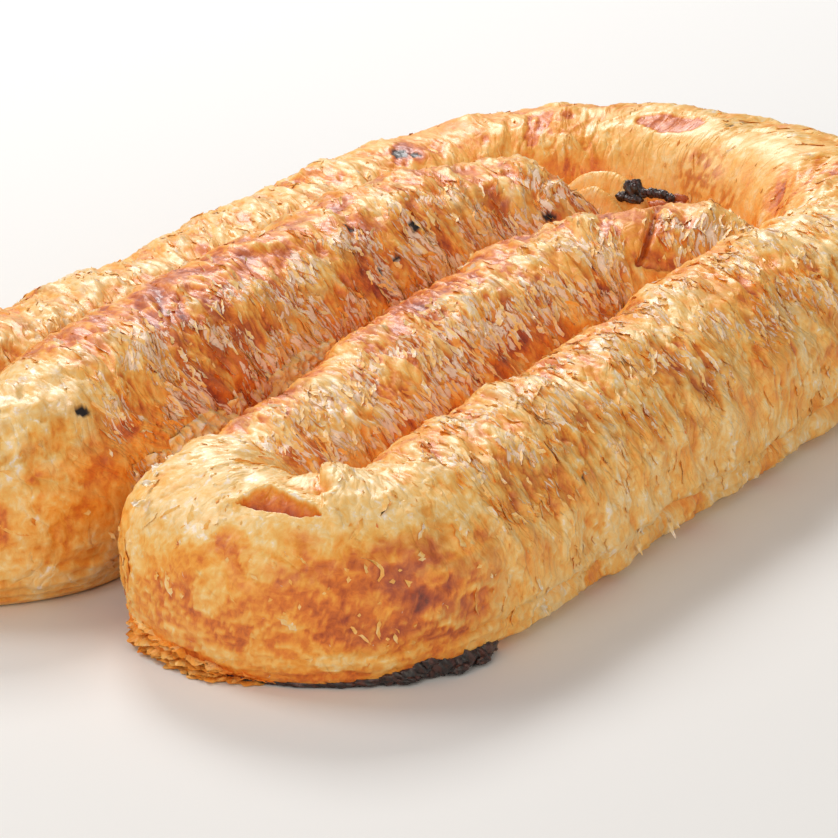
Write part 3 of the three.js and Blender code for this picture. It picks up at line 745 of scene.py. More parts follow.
    # painted shade: the bow's inner wall in the hollow is darkened to a deep orange where shade falls;
    # yellower further round
    shade = between(s, *BOW_SHADE) * rise(t, 17, 26)
    tone = tone + 0.26 * shade
    yellow = between(s, *BOW_YELLOW) * rise(t, 2, 10)
    tone = blend(tone, 0.20, 0.85 * yellow)
    calmed = np.clip(shade + yellow, 0, 1) * on_bow
    relief = relief * (1 - 0.7 * calmed)
    mauve = mauve * (1 - 0.8 * calmed)

    # a bare patch on the bow where the outer sheet has come away
    patch_s, patch_w = (s - BARE_AT[0]) / BARE_HALF[0], (grid["w"] - BARE_AT[1]) / BARE_HALF[1]
    patch_field = np.sqrt(patch_s ** 2 + patch_w ** 2) + 0.16 * layers(s / 5, t / 5, 87, 2)
    patch = (1 - rise(patch_field, 0.94, 1.04)) * on_bow
    relief = relief - 0.55 * patch
    tone = blend(tone, BARE_TONE, 0.95 * patch)
    mauve = mauve * (1 - patch)
    tone = tone - 0.15 * np.exp(-((patch_field - 1.12) / 0.07) ** 2) * on_bow

    # pleats gathered towards one point where the free end runs into the bow
    dx, dy = p[..., 0] - PLEAT_FOCUS[0], p[..., 1] - PLEAT_FOCUS[1]
    reach = np.hypot(dx, dy)
    turn = np.arctan2(dy, dx)
    gathered = (1 - rise(reach, 55, 85)) * rise(reach, 2, 10) * on_bow * rise(t, -14, 6)
    pleat = ridge(turn * 9 + 0.5 * layers(reach / 18, turn * 3, 91, 2), reach / 60, 93, 0.9)
    fine_pleat = ridge(turn * 23, reach / 30, 95, 1.0)
    relief = relief + gathered * (1 - 0.8 * yellow) * (1.1 * (pleat - 0.4) + 0.35 * (fine_pleat - 0.4))
    streak = rise(layers(turn * 12, reach / 26, 97, 2), 0.10, 0.4) * gathered * rise(s, 606, 622)
    tone = tone + 0.28 * streak
    # pleat crests are painted paler and their troughs darker: painted highlight and painted shade
    tone = tone - 0.10 * gathered * (pleat - 0.4)

    # reddish crust beside the burnt filling in the hollow
    for centre, radius in REDDISH_SPOTS:
        warm = near_point(p, centre, radius, 3.0) * rise(layers(s / 3, t / 3, 133, 3), -0.1, 0.15)
        tone = tone + 0.28 * warm
        mauve = np.maximum(mauve, 0.3 * warm)

    # burnt spots with ragged rims
    ragged = 0.9 * layers(s / 1.6, t / 1.6, 99, 2)
    for centre, radius in BURNT_SPOTS:
        distance = np.linalg.norm(p - np.array(centre), axis=-1)
        spot = 1 - rise(distance + ragged * 1.3, radius * 0.6, radius * 0.85)
        halo = np.exp(-(distance / (radius * 1.9)) ** 2)
        char = np.maximum(char, spot)
        tone = tone + 0.22 * halo
        relief = relief - 0.35 * spot

    # the front bend: small orange mottles low on its middle, soft mauve on its right flank
    front_band = on_front * between(s, *FRONT_BAND) * between(z, 20, 33, 5)
    tone = tone + 0.16 * front_band * layers(s / 3, t / 2.6, 101, 3) + 0.12 * front_band
    flank = between(s, *FRONT_FLANK) * between(z, 12, 32, 5) * on_front
    mauve = np.maximum(mauve, 0.32 * flank * rise(layers(s / 5, t / 5, 103, 4, 0.6), -0.06, 0.04))
    tone = tone - 0.06 * flank
    # small flaky bits low on the bends
    low_band = (on_front + 0.6 * on_left) * between(z, 6, 22, 5)
    bits = rise(layers(s / 1.7, t / 1.5, 135, 3, 0.6), 0.05, 0.2)
    relief = relief + 0.32 * low_band * bits
    tone = tone + low_band * (0.14 - 0.24 * bits) + 0.25 * on_front * (1 - rise(z, 2, 7))
    relief = relief + 0.16 * on_front * top_share * layers(s / 1.3, t / 1.3, 137, 2)

    tone = np.where(tone > 0.7, 0.7 + 0.6 * (tone - 0.7), tone)
    relief = np.where(grid["under"], 0, relief * rise(z, 0.0, 4.0))
    # the very tips stay closed
    tip = rise(np.minimum(s, ROPE_LENGTH - s), 0, 4)
    relief = relief * (0.25 + 0.75 * tip)
    fleck = wisp_share(s, t) * (0.75 + 0.6 * crests * strong) * (1 - 0.8 * room) * (1 - 0.7 * flap)
    fleck = fleck * (1 + by_run(b=0.36, c=0.25) + 0.25 * on_d * top_share)
    return dict(relief=relief, uncut=uncut, along=sw, around=tw, tone=np.clip(tone, PALEST, 1.15),
                mauve=np.clip(mauve, 0, 1), char=np.clip(char, 0, 1), fleck=np.clip(fleck, 0, 1.3),
                crest=np.clip(crests * strong + 0.6 * edge, 0, 1.4))


# ------------------------------------------------------------------ meshes


def add_mesh(name, points, faces, fields):
    mesh = bpy.data.meshes.new(name)
    points = np.asarray(points, float)
    faces = np.asarray(faces, np.int32)
    sides = faces.shape[1]
    mesh.vertices.add(len(points))
    mesh.vertices.foreach_set("co", place(points).astype(np.float32).ravel())
    mesh.loops.add(faces.size)
    mesh.loops.foreach_set("vertex_index", faces.ravel())
    mesh.polygons.add(len(faces))
    mesh.polygons.foreach_set("loop_start", np.arange(len(faces), dtype=np.int32) * sides)
    mesh.polygons.foreach_set("loop_total", np.full(len(faces), sides, np.int32))
    mesh.update(calc_edges=True)
    for key, values in fields.items():
        values = np.asarray(values, np.float32)
        kind = "FLOAT_VECTOR" if values.ndim == 2 else "FLOAT"
        attribute = mesh.attributes.new(key, kind, "POINT")
        attribute.data.foreach_set("vector" if values.ndim == 2 else "value", values.ravel())
    mesh.validate()
    mesh.polygons.foreach_set("use_smooth", np.ones(len(mesh.polygons), bool))
    piece = bpy.data.objects.new(name, mesh)
    bpy.context.scene.collection.objects.link(piece)
    return piece


def grid_faces(rows, columns, closed):
    """Faces of a grid of points, closed around its columns if asked."""
    r = np.arange(rows - 1)[:, None]
    c = np.arange(columns if closed else columns - 1)[None]
    d = (c + 1) % columns
    return np.stack([r * columns + c, r * columns + d, (r + 1) * columns + d,
                     (r + 1) * columns + c], -1).reshape(-1, 4)


def join(name, parts):
    """One mesh from several (points, faces, fields)."""
    points, faces, fields, offset = [], [], {}, 0
    for part_points, part_faces, part_fields in parts:
        points.append(part_points)
        faces.append(part_faces + offset)
        for key, values in part_fields.items():
            fields.setdefault(key, []).append(values)
        offset += len(part_points)
    return add_mesh(name, np.concatenate(points), np.concatenate(faces),
                    {key: np.concatenate(values) for key, values in fields.items()})


def rope_places(along, around, third=0.0):
    """Where the points lie in the sheet of dough, for the pattern of its strands."""
    along = np.asarray(along)
    return np.stack([along.ravel(), np.ravel(around), np.ravel(third) + 0 * along.ravel()], -1)


def colour_fields(shape, tone, crest, rope, mauve, char=0.0):
    """The fields that a material reads, for points of the given shape."""
    given = dict(tone=tone, mauve=mauve, char=char, crest=crest, fleck=0.0)
    fields = {key: np.broadcast_to(np.asarray(value, float), shape).ravel() for key, value in given.items()}
    fields["rope"] = rope
    return fields


def sheet_part(points, tone, crest, rope=None, mauve=0.0, char=0.0, closed=False):
    """A sheet of rows and columns of points."""
    rows, columns = points.shape[:2]
    if rope is None:
        rope = rope_places(points[..., 0], points[..., 1])
    return (points.reshape(-1, 3), grid_faces(rows, columns, closed),
            colour_fields((rows, columns), tone, crest, rope, mauve, char))


def rope_part(grid, fields):
    points = grid["p"] + grid["n"] * fields["relief"][..., None]
    points[..., 2] = np.maximum(points[..., 2], 0)
    grid["skin"] = points
    grid["uncut_skin"] = grid["p"] + grid["n"] * fields["uncut"][..., None]
    rows, columns = points.shape[:2]
    out = {key: fields[key].ravel() for key in ("tone", "mauve", "char", "crest", "fleck")}
    out["rope"] = rope_places(fields["along"], fields["around"])
    return points.reshape(-1, 3), grid_faces(rows, columns, True), out


def floor_part():
    """The low mound of dough in the hollow between the free ends and the bow."""
    rings, spokes = 60, 150
    radius = np.linspace(0.5, FLOOR_RADIUS, rings)[:, None]
    angle = np.linspace(0, 2 * math.pi, spokes, endpoint=False)[None]
    x = FLOOR_X + radius * np.cos(angle)
    y = FLOOR_Y + radius * np.sin(angle)
    drop = FLOOR_EDGE_HEIGHT - FLOOR_MIDDLE_HEIGHT
    z = FLOOR_MIDDLE_HEIGHT + drop * (radius / FLOOR_RADIUS) + 0 * angle
    z = z + 0.7 * layers(x / 9, y / 9, 111, 3) + 0.6 * ridge(x / 5, y / 12, 113)
    tone = 0.54 + 0.2 * layers(x / 8, y / 8, 115, 3)
    return sheet_part(np.stack([x, y, z], -1), tone, 0.3, closed=True)


def fold_parts():
    """Rolled layers that wrap round the left free end."""
    parts = []
    for index, (radius, height) in enumerate(FOLDS):
        share = np.linspace(0, 1, 150)[:, None]
        over = np.linspace(0, math.pi, 46)[None]
        angle = np.radians(FOLD_FROM_ANGLE + (FOLD_TO_ANGLE - FOLD_FROM_ANGLE) * share)
        thin = np.sqrt(np.sin(math.pi * (0.01 + 0.98 * share)))
        crease = ridge(share * 26 + 0.5 * np.cos(over), over / 2.0, 121 + index, 1.0)
        puff = 0.8 * layers(share * 7, over * 1.2, 125 + index, 3) + 0.12 * (crease - 0.4)
        reach = radius - np.cos(over) * (FOLD_HALF_WIDTH + 0.4 * puff) * thin
        z = np.maximum(np.sin(over), 0.03) * height * thin + puff
        x = FOLD_X + reach * np.cos(angle)
        y = FOLD_Y + reach * np.sin(angle)
        tone = 0.26 + 0.2 * layers(share * 9, over * 2, 127 + index, 3) - 0.05 * (crease - 0.4)
        rope = rope_places(share * 60 + 0 * over, over * 9 + 0 * share)
        parts.append(sheet_part(np.stack([x, y, np.maximum(z, 0)], -1), tone, 0.5, rope))
    return parts


# ------------------------------------------------------------------ materials


def srgb(red, green, blue):
    """A colour given as on screen, 0 to 255, as linear light."""
    def linear(v):
        v /= 255
        return v / 12.92 if v <= 0.04045 else ((v + 0.055) / 1.055) ** 2.4
    return (linear(red), linear(green), linear(blue), 1.0)


# FLECK, and PALE at the palest end of the tones, are the pinkish white of thin torn shreds: partly their
# own pale colour, partly a painted highlight of glaze catching the light.
FLECK = srgb(255, 226, 202)
PALE = srgb(255, 236, 214)
CREAM = srgb(255, 220, 154)
STRAW = srgb(254, 197, 104)
GOLD = srgb(250, 166, 58)
AMBER = srgb(230, 122, 32)
RUSSET = srgb(180, 74, 20)
CHESTNUT = srgb(104, 36, 14)
MAUVE = srgb(150, 72, 56)
CHARCOAL = srgb(26, 17, 17)

# How brown the crust is, from 0, and the colour there.
TONES = ((0.0, PALE), (0.06, CREAM), (0.22, STRAW), (0.42, GOLD), (0.62, AMBER), (0.84, RUSSET),
         (1.0, CHESTNUT))
FLECK_COVER = 0.88
FLECK_REACH = 0.27  # how much the fleck field adds to the pattern of torn shreds
STRAND_REACH = 0.09
STRAND_SCALE = (0.42, 0.15, 1.0)
STRANDS = dict(Detail=2.0, Roughness=0.55, Lacunarity=2.1, Offset=0.9, Gain=1.4, Distortion=0.5)
SHRED_SCALE = (0.95, 0.27, 1.0)
SHREDS = dict(Detail=3.0, Roughness=0.6, Distortion=0.35)
SPECKS = dict(Scale=420.0, Detail=5.0, Roughness=0.68, Distortion=0.6)
SPECK_REACH = 0.7
BUMP_HEIGHT = 0.0007


def crust_material(name, coat):
    """Browned dough: strands along the sheet, fine specks, pale torn shreds whose pinkish white is partly a
    painted highlight, and burnt places.
    """
    material = bpy.data.materials.new(name)
    material.use_nodes = True
    nodes, links = material.node_tree.nodes, material.node_tree.links
    nodes.clear()

    def node(kind, inputs=(), wires=(), **settings):
        made = nodes.new(kind)
        for key, value in settings.items():
            setattr(made, key, value)
        for key, value in dict(inputs).items():
            made.inputs[key].default_value = value
        for key, source in dict(wires).items():
            links.new(source, made.inputs[key])
        return made

    def attribute(key, output="Fac"):
        return node("ShaderNodeAttribute", attribute_name=key).outputs[output]

    def math_node(operation, *values):
        numbers = {i: v for i, v in enumerate(values) if isinstance(v, (int, float))}
        wires = {i: v for i, v in enumerate(values) if i not in numbers}
        return node("ShaderNodeMath", numbers, wires, operation=operation).outputs[0]

    def mixed(base, colour, share):
        return node("ShaderNodeMix", {"B": colour}, {"A": base, "Factor": share},
                    data_type="RGBA").outputs["Result"]

    def sheet_pattern(scale, inputs, **settings):
        at = node("ShaderNodeMapping", {"Scale": scale}, {"Vector": attribute("rope", "Vector")})
        return node("ShaderNodeTexNoise", dict(inputs, Scale=1.0), {"Vector": at.outputs["Vector"]},
                    noise_dimensions="2D", **settings).outputs["Fac"]

    strands = sheet_pattern(STRAND_SCALE, STRANDS, noise_type="RIDGED_MULTIFRACTAL")
    shreds = sheet_pattern(SHRED_SCALE, SHREDS)
    even = node("ShaderNodeTexCoord").outputs["Object"]
    specks = node("ShaderNodeTexNoise", SPECKS, {"Vector": even}).outputs["Fac"]
    thickness = math_node("ADD", shreds, math_node("MULTIPLY", attribute("fleck"), FLECK_REACH))
    shred_share = node("ShaderNodeMapRange", {"From Min": 0.77, "From Max": 0.83}, {"Value": thickness},
                       clamp=True).outputs["Result"]

    strand_reach = math_node("MULTIPLY", math_node("ADD", attribute("crest"), 0.25), STRAND_REACH)
    strand_share = math_node("MULTIPLY", math_node("SUBTRACT", 0.42, strands), strand_reach)
    speck_share = math_node("MULTIPLY", math_node("SUBTRACT", specks, 0.5), SPECK_REACH)
    tone = math_node("ADD", math_node("ADD", attribute("tone"), strand_share), speck_share)
    ramp = node("ShaderNodeValToRGB", wires={"Fac": tone})
    while len(ramp.color_ramp.elements) < len(TONES):
        ramp.color_ramp.elements.new(0.5)
    for element, (position, colour) in zip(ramp.color_ramp.elements, TONES):
        element.position = position
        element.color = colour

    colour = mixed(ramp.outputs["Color"], MAUVE, attribute("mauve"))
    colour = mixed(colour, FLECK, math_node("MULTIPLY", shred_share, FLECK_COVER))
    colour = mixed(colour, CHARCOAL, attribute("char"))

    height = math_node("ADD", math_node("MULTIPLY", strands, 0.35), math_node("MULTIPLY", specks, 0.4))
    height = math_node("ADD", height, math_node("MULTIPLY", shred_share, 0.7))
    bump = node("ShaderNodeBump", {"Strength": 0.6, "Distance": BUMP_HEIGHT}, {"Height": height})
    surface = node("ShaderNodeBsdfPrincipled",
                   {"Roughness": 0.5, "Specular IOR Level": 0.45, "Coat Weight": coat,
                    "Coat Roughness": 0.3},
                   {"Base Color": colour, "Normal": bump.outputs["Normal"]})
    node("ShaderNodeOutputMaterial", wires={"Surface": surface.outputs["BSDF"]})
    return material


# ------------------------------------------------------------------ build

FIELDS = crust(GRID)
roll = join("crust_roll", [rope_part(GRID, FIELDS), floor_part(), *fold_parts()])
CRUST_LOOK = crust_material("flaky_crust", 0.32)
roll.data.materials.append(CRUST_LOOK)
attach(roll, "root")
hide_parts("pastry_roll")

# ------------------------------------------------------------------ things laid on the crust

SKIN_COLUMNS = INNER_FOOT_POINTS + TOP_POINTS + OUTER_FOOT_POINTS


def on_skin(s, t, skin="skin"):
    """Points of the finished skin, and its outward directions, s along and t around the rope."""
    shape = s.shape
    s, t = s.ravel(), t.ravel()
    ring_s = GRID["s"][:, 0]
    row = np.clip(np.searchsorted(ring_s, s) - 1, 0, len(ring_s) - 2)
    share_s = np.clip((s - ring_s[row]) / (ring_s[row + 1] - ring_s[row]), 0, 1)[:, None]
    points, normals = np.zeros((len(s), 3)), np.zeros((len(s), 3))
    chunk = 20000
    for start in range(0, len(s), chunk):
        part = slice(start, start + chunk)
        r = row[part]
        around = GRID["t"][r, :SKIN_COLUMNS]
        c = np.clip((around > t[part, None]).sum(1) - 1, 0, SKIN_COLUMNS - 2)
        before, after = around[np.arange(len(r)), c], around[np.arange(len(r)), c + 1]
        share = np.clip((before - t[part]) / np.maximum(before - after, 1e-6), 0, 1)[:, None]
        f = share_s[part]
        for source, result in ((GRID[skin], points), (GRID["n"], normals)):
            near = source[r, c] * (1 - share) + source[r, c + 1] * share
            far = source[r + 1, c] * (1 - share) + source[r + 1, c + 1] * share
            result[part] = near * (1 - f) + far * f
    return points.reshape(shape + (3,)), unit(normals).reshape(shape + (3,))


def wisps(chance, s, t, long, wide, turn, lift, tone, mauve, stations):
    """Thin ragged flakes that follow the skin, each with one long edge and one end lifted."""
    n = len(s)
    v = np.linspace(-1, 1, stations)[None, :, None]
    u = np.array([-1.0, 0.0, 1.0])[None, None, :]
    taper = np.clip(1 - np.abs(v) ** 2.4, 0.02, 1) ** 0.7
    rag = 1 + 0.45 * chance.normal(size=(n, stations, 3))
    across = u * wide[:, None, None] * taper * rag
    across = across + chance.normal(0, 0.12, (n, 1, 1)) * long[:, None, None] * (v ** 2 - 0.4)
    along = v * long[:, None, None] * (1 + 0.1 * chance.normal(size=(n, stations, 3)))
    cos, sin = np.cos(turn)[:, None, None], np.sin(turn)[:, None, None]
    ds = across * cos - along * sin
    dt = along * cos + across * sin
    points, normals = on_skin(s[:, None, None] + ds, t[:, None, None] + dt)
    edge_side = np.where(chance.random((n, 1, 1)) < 0.7, 1.0, -1.0)
    end_side = np.where(chance.random((n, 1, 1)) < 0.5, 1.0, -1.0)
    edge = np.clip(u * edge_side, -1, 1)
    lift = lift[:, None, None]
    rise_up = 0.05 + lift * (0.3 + 0.7 * edge) * (0.6 + 0.8 * chance.random((n, stations, 1)))
    rise_up = rise_up + 0.8 * lift * np.clip(v * end_side - 0.35, 0, 1)
    rise_up = np.maximum(rise_up, -0.15)
    points = points + normals * rise_up[..., None]
    points[..., 2] = np.maximum(points[..., 2], 0.05)
    cells = grid_faces(stations, 3, False)
    faces = (cells[None] + (np.arange(n) * stations * 3)[:, None, None]).reshape(-1, 4)
    rim = 0.07 * (1 - np.abs(u)) + 0.10 * np.clip(-v * end_side, 0, 1)
    tones = tone[:, None, None] + rim + 0.03 * chance.normal(size=(n, stations, 3))
    rope = rope_places(s[:, None, None] + ds, t[:, None, None] + dt)
    fields = colour_fields(tones.shape, np.clip(tones, 0, 1), 0.1, rope, mauve[:, None, None])
    return points.reshape(-1, 3), faces, fields


WISP_SEED = 19
WISP_TRIES = 21000
CRUMB_TRIES = 16000


def scattered_wisps():
    chance = np.random.default_rng(WISP_SEED)
    parts = []
    for tries, long_low, long_high, wide_low, wide_high, lift_high, stations in (
            (WISP_TRIES, 1.2, 3.8, 0.16, 0.55, 0.55, 6), (CRUMB_TRIES, 0.4, 1.2, 0.14, 0.4, 0.28, 3)):
        small = stations == 3
        s = chance.uniform(3, ROPE_LENGTH - 3, tries)
        t = chance.uniform(-62, 50, tries)
        share = wisp_share(s, t)
        if small:
            front = between(s, R0 - 10, C0 - 4, 8)
            share = 0.10 + 0.35 * share + 0.25 * front
        keep = (chance.random(tries) < share) & (on_skin(s, t)[0][:, 2] > 6)
        s, t = s[keep], t[keep]
        n = len(s)
        long = chance.uniform(long_low, long_high, n) * chance.uniform(0.6, 1, n)
        wide = chance.uniform(wide_low, wide_high, n)
        on_c = s > C0 - 6
        on_bend = (s > R0) & ~on_c
        turn = np.arctan(sway_slope(t)) * np.where(on_bend, 0.3, 1.0) + chance.normal(0, 0.3, n)
        on_d_crest = (s > D0) & (s < R0) & (t > -26)
        paler = (s < L0 + 10) | on_c | on_d_crest
        lift = chance.uniform(0.15, lift_high, n) * np.where(paler, 1.0, 0.6)
        tone = chance.normal(0.20 if small else 0.12, 0.06, n) - np.where(paler, 0.09, 0.0)
        tone = np.clip(tone, 0, 0.4)
        darker = chance.random(n) < 0.12
        tone = np.where(darker, tone + chance.uniform(0.08, 0.3, n), tone)
        mauve = np.where(chance.random(n) < 0.4, chance.uniform(0.02, 0.14, n), 0.0)
        parts.append(wisps(chance, s, t, long, wide, turn, lift, tone, mauve, stations))
    return parts


SCRAP_ROWS, SCRAP_COLUMNS = 9, 7


def torn_sheet(chance, corner, out, side, length, width, curl, tone, tip):
    """A torn, crumpled scrap: from `corner` it runs `out`, `width` wide along `side`."""
    out, side = unit(np.array(out, float)), unit(np.array(side, float))
    up = unit(np.cross(side, out))
    if up[2] < 0:
        up = -up
    v = np.linspace(0, 1, SCRAP_ROWS)[:, None]
    u = np.linspace(-1, 1, SCRAP_COLUMNS)[None]
    seed = int(chance.integers(1, 9000))
    narrow = 1 - (1 - tip) * v ** 1.3
    ragged = 1 + 0.35 * noise(u * 3.1 + 5, 0 * v + 1.7, seed) * v
    reach = length * v * ragged
    across = width / 2 * u * narrow * (1 + 0.2 * noise(0 * u + 2.3, v * 4, seed + 1))
    crumple = width * (0.10 * noise(u * 1.7 + 3, v * 2.1, seed + 2)
                       + 0.07 * noise(u * 3.6, v * 4.5, seed + 3))
    height = curl * length * v ** 2 + crumple
    points = (np.array(corner, float) + reach[..., None] * out + across[..., None] * side
              + height[..., None] * up)
    points[..., 2] = np.maximum(points[..., 2], 0.05)
    tones = tone + 0.10 * noise(u * 2, v * 3, seed + 4) - 0.10 * v + 0 * u
    return sheet_part(points, np.clip(tones, 0, 1), 0.2)


TORN_SEED = 31
# Torn scraps seen on the roll: corner, direction out, direction across, length, width, curl,
# tone, tip width as a share.
RIM_SCRAPS = (
    ((20.5, -152, 33), (-1, -0.5, 0.0), (0.3, 1, 0.3), 2.2, 5.0, 0.05, 0.12, 0.3),
    ((19.0, -146, 35), (-1, -0.3, 0.1), (0.1, 1, 0.1), 2.6, 5.0, 0.0, 0.10, 0.3),
    ((17.5, -140, 36), (-1, 0.1, 0.1), (0, 1, 0.1), 2.8, 6.0, 0.0, 0.10, 0.4),
    ((17.0, -134, 36), (-1, 0.3, 0.0), (0, 1, 0.1), 3.0, 6.0, 0.0, 0.12, 0.3),
    ((18.0, -127, 36), (-1, 0.4, 0.0), (0.1, 1, 0), 2.6, 6.0, 0.0, 0.14, 0.4),
    ((20.0, -153, 25), (-1, -0.6, -0.4), (0.3, 1, 0.3), 2.2, 3.5, 0.1, 0.20, 0.3),
    ((19.5, -150, 29), (-1, -0.4, -0.6), (0.1, 1, 0.3), 2.4, 3.0, 0.1, 0.20, 0.3),
)
# Crumpled thin dough beside a groove: from and to along the rope, from and to around it, height.
GROOVE_FOAM = ((168, 212, -31, -50, 3.4), (128, 158, -29, -46, 2.8))
SHARDS = (
    ((91.8, -60, 6.5), (0.2, 0.2, -1), (0.2, 1, 0), 2.4, 1.8, 0.2, 0.16, 0.2),
    ((92.2, -46, 7), (0.2, 0.1, -1), (0.2, 1, 0), 3.4, 1.6, 0.25, 0.12, 0.15),
    ((92.0, -43, 7), (0.3, 0.0, -1), (0.1, 1, 0), 2.6, 1.4, 0.2, 0.14, 0.2),
    ((89.5, -92, 6.5), (0.3, 0.1, -1), (0.2, 1, 0), 2.2, 2.0, 0.2, 0.18, 0.3),
)


def torn_parts():
    chance = np.random.default_rng(TORN_SEED)
    return [torn_sheet(chance, corner, out, side, length, width, curl, tone, tip)
            for corner, out, side, length, width, curl, tone, tip in (*RIM_SCRAPS, *SHARDS)]


def foam_parts():
    parts = []
    for index, (first, last, top, bottom, lift) in enumerate(GROOVE_FOAM):
        rows, columns, seed = int((last - first) / 0.3), 44, 501 + 10 * index
        s = np.linspace(first, last, rows)[:, None] + np.zeros((1, columns))
        t = np.linspace(top, bottom, columns)[None] + np.zeros((rows, 1))
        v, u = (s - first) / (last - first), (t - top) / (bottom - top)
        inside = 16 * v * (1 - v) * u * (1 - u) + 0.35 * noise(s / 3, t / 3, seed) - 0.15
        inside = np.sqrt(np.clip(inside, 0, 1))
        bubbles = 1 - np.abs(noise(s / 2.6, t / 2.2, seed + 1)) * 2.2
        height = inside * (0.45 * lift + 0.5 * lift * bubbles + 0.8 * ridge(s / 1.3, t / 1.1, seed + 2)
                           + 0.5 * noise(s / 0.7, t / 0.7, seed + 3))
        height = height - 0.8 * (1 - rise(inside, 0, 0.4))
        points, normals = on_skin(s, t)
        points = points + normals * height[..., None]
        tones = 0.16 - 0.10 * bubbles + 0.14 * noise(s / 1.8, t / 1.5, seed + 4)
        parts.append(sheet_part(points, np.clip(tones, 0.05, 1), 0.2, rope_places(s, t)))
    return parts


def slit_part():
    """A fine patch of crust with the open slit in it; its rim dips under the skin around."""
    gap = np.linalg.norm(GRID["p"] - SLIT_MIDDLE, axis=-1)
    ring, column = np.unravel_index(np.argmin(gap), gap.shape)
    middle_s, middle_t = GRID["s"][ring, column], GRID["t"][ring, column]
    rows, columns = int(190 / COARSE), int(120 / COARSE)
    s = np.linspace(middle_s - 15, middle_s + 15, rows)[:, None] + np.zeros((1, columns))
    t = np.linspace(middle_t + 9.5, middle_t - 9.5, columns)[None] + np.zeros((rows, 1))
    points, normals = on_skin(s, t, "uncut_skin")
    inside, share, above = slit_place(points)
    rag = 0.22 * noise(s / 0.9, t / 0.9, 601) + 0.25 * noise(s / 2.4, t / 2.4, 603)
    hole = rise(inside + rag, -0.05, 0.35)
    fold = ridge(s / 2.2 + 0.15 * t, t / 6, 605)
    depth = 0.5 + 3.6 * (1 - share) ** 1.3 - 0.5 * (fold - 0.4) * share
    keep = rise(inside, -3.4, -1.6)
    height = 0.07 - 1.0 * (1 - keep) - hole * depth + 0.05 * noise(s / 0.8, t / 0.8, 607) * keep
    rim = np.exp(-((inside + rag) / 0.35) ** 2) * (above > -2)
    height = height + 0.35 * rim
    tone = 0.16 + 0.10 * layers(s / 4, t / 4, 609, 3) - 0.10 * rim
    # inside the slit: orange inner layers, with painted shade darkening them towards the deep lower edge of
    # the opening
    inner_tone = 0.42 + 0.5 * (1 - share) ** 0.8 + 0.08 * noise(s / 1.5, t / 3, 611)
    tone = blend(tone, inner_tone, hole)
    points = points + normals * height[..., None]
    return sheet_part(points, tone, 0.1, rope_places(s, t), 0.12 * hole * (1 - share))


# The torn layers that spread on the table round the right bend: height and reach by angle.
BEND_CENTRE = ((INNER_RIGHT_X + OUTER_RIGHT_X) / 2, RIGHT_BEND_Y)
SKIRT_HEIGHT = ((-152, 7.5), (-136, 9.0), (-110, 7.0), (-85, 3.6), (-70, 2.0))
SKIRT_REACH = ((-152, 41.4), (-140, 43.8), (-120, 45.8), (-95, 45.4), (-72, 42.5))
SKIRT_SEED = 37
SKIRT_RIBBONS = 30
SKIRT_CORE_SHEETS = 4
SKIRT_ROOT = 36
SKIRT_FROM_ANGLE, SKIRT_TO_ANGLE = -148, -76
# Ribbons: angle they start from, angle they span, depth inwards, tone.
RIBBON_FIRST_ANGLE = (-149, -84)
RIBBON_SPAN = (14, 40)
RIBBON_DEPTH = (3.5, 6.5)
# the ribbons' tones are kept pale: their own bright orange yellow, partly painted light standing in for
# warm light bounced up onto them
RIBBON_TONE = (0.20, 0.40)
LOWEST = 0.06  # how near the table a loose layer comes


def skirt_sheet(angle, radius, z, tone):
    """A sheet lying round the front bend, its rows by angle and its columns outwards."""
    turn = np.radians(angle + 0 * radius)
    points = np.stack([BEND_CENTRE[0] + radius * np.cos(turn), BEND_CENTRE[1] + radius * np.sin(turn),
                       np.maximum(z, LOWEST)], -1)
    return sheet_part(points, np.clip(tone, 0, 1), 0.1)


def skirt_parts():
    """A core of squashed layers, with bright ragged ribbons sticking out of it at all heights."""
    chance = np.random.default_rng(SKIRT_SEED)
    parts = []
    for sheet in range(SKIRT_CORE_SHEETS):
        angle = np.linspace(SKIRT_FROM_ANGLE, SKIRT_TO_ANGLE, 200)[:, None]
        share = np.linspace(0, 1, 7)[None]
        level = (sheet + 0.4) / SKIRT_CORE_SHEETS
        reach = read_table(SKIRT_REACH, angle) - 2.6 + 1.2 * layers(angle / 5, 0 * angle, 301 + sheet, 2)
        radius = SKIRT_ROOT + (reach - SKIRT_ROOT) * share
        z = level * read_table(SKIRT_HEIGHT, angle) + 0.6 * layers(angle / 4, share * 2, 321 + sheet, 2)
        tone = 0.42 + 0.25 * layers(angle / 3, share * 2, 361 + sheet, 2)
        parts.append(skirt_sheet(angle, radius, z, tone))
    for ribbon in range(SKIRT_RIBBONS):
        first = chance.uniform(*RIBBON_FIRST_ANGLE)
        span = chance.uniform(*RIBBON_SPAN)
        level = chance.random()
        along = np.linspace(0, 1, int(span * 2.2))[:, None]
        share = np.linspace(0, 1, 8)[None]
        angle = first + span * along
        seed = 401 + 7 * ribbon
        taper = np.clip(along * 6, 0, 1) * np.clip((1 - along) * 5, 0, 1)
        reach = (read_table(SKIRT_REACH, angle) - 1.4 * level - 3.2 * (1 - taper)
                 + 2.4 * layers(angle / 5.5, 0 * angle, seed, 2))
        radius = reach - chance.uniform(*RIBBON_DEPTH) * (1 - share)
        z = (0.15 + level * read_table(SKIRT_HEIGHT, angle)
             + 0.9 * layers(angle / 5, 0 * share, seed + 1, 3)
             + chance.uniform(-0.9, 0.5) * share ** 2 + 0.35 * layers(angle / 2, share * 2, seed + 2, 2))
        tone = chance.uniform(*RIBBON_TONE) + 0.15 * layers(angle / 3, share * 2, seed + 3, 3)
        parts.append(skirt_sheet(angle, radius, z, tone))
    return parts


torn = join("torn_layers", torn_parts() + foam_parts() + skirt_parts() + [slit_part()])
torn.data.materials.append(CRUST_LOOK)
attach(torn, "root")

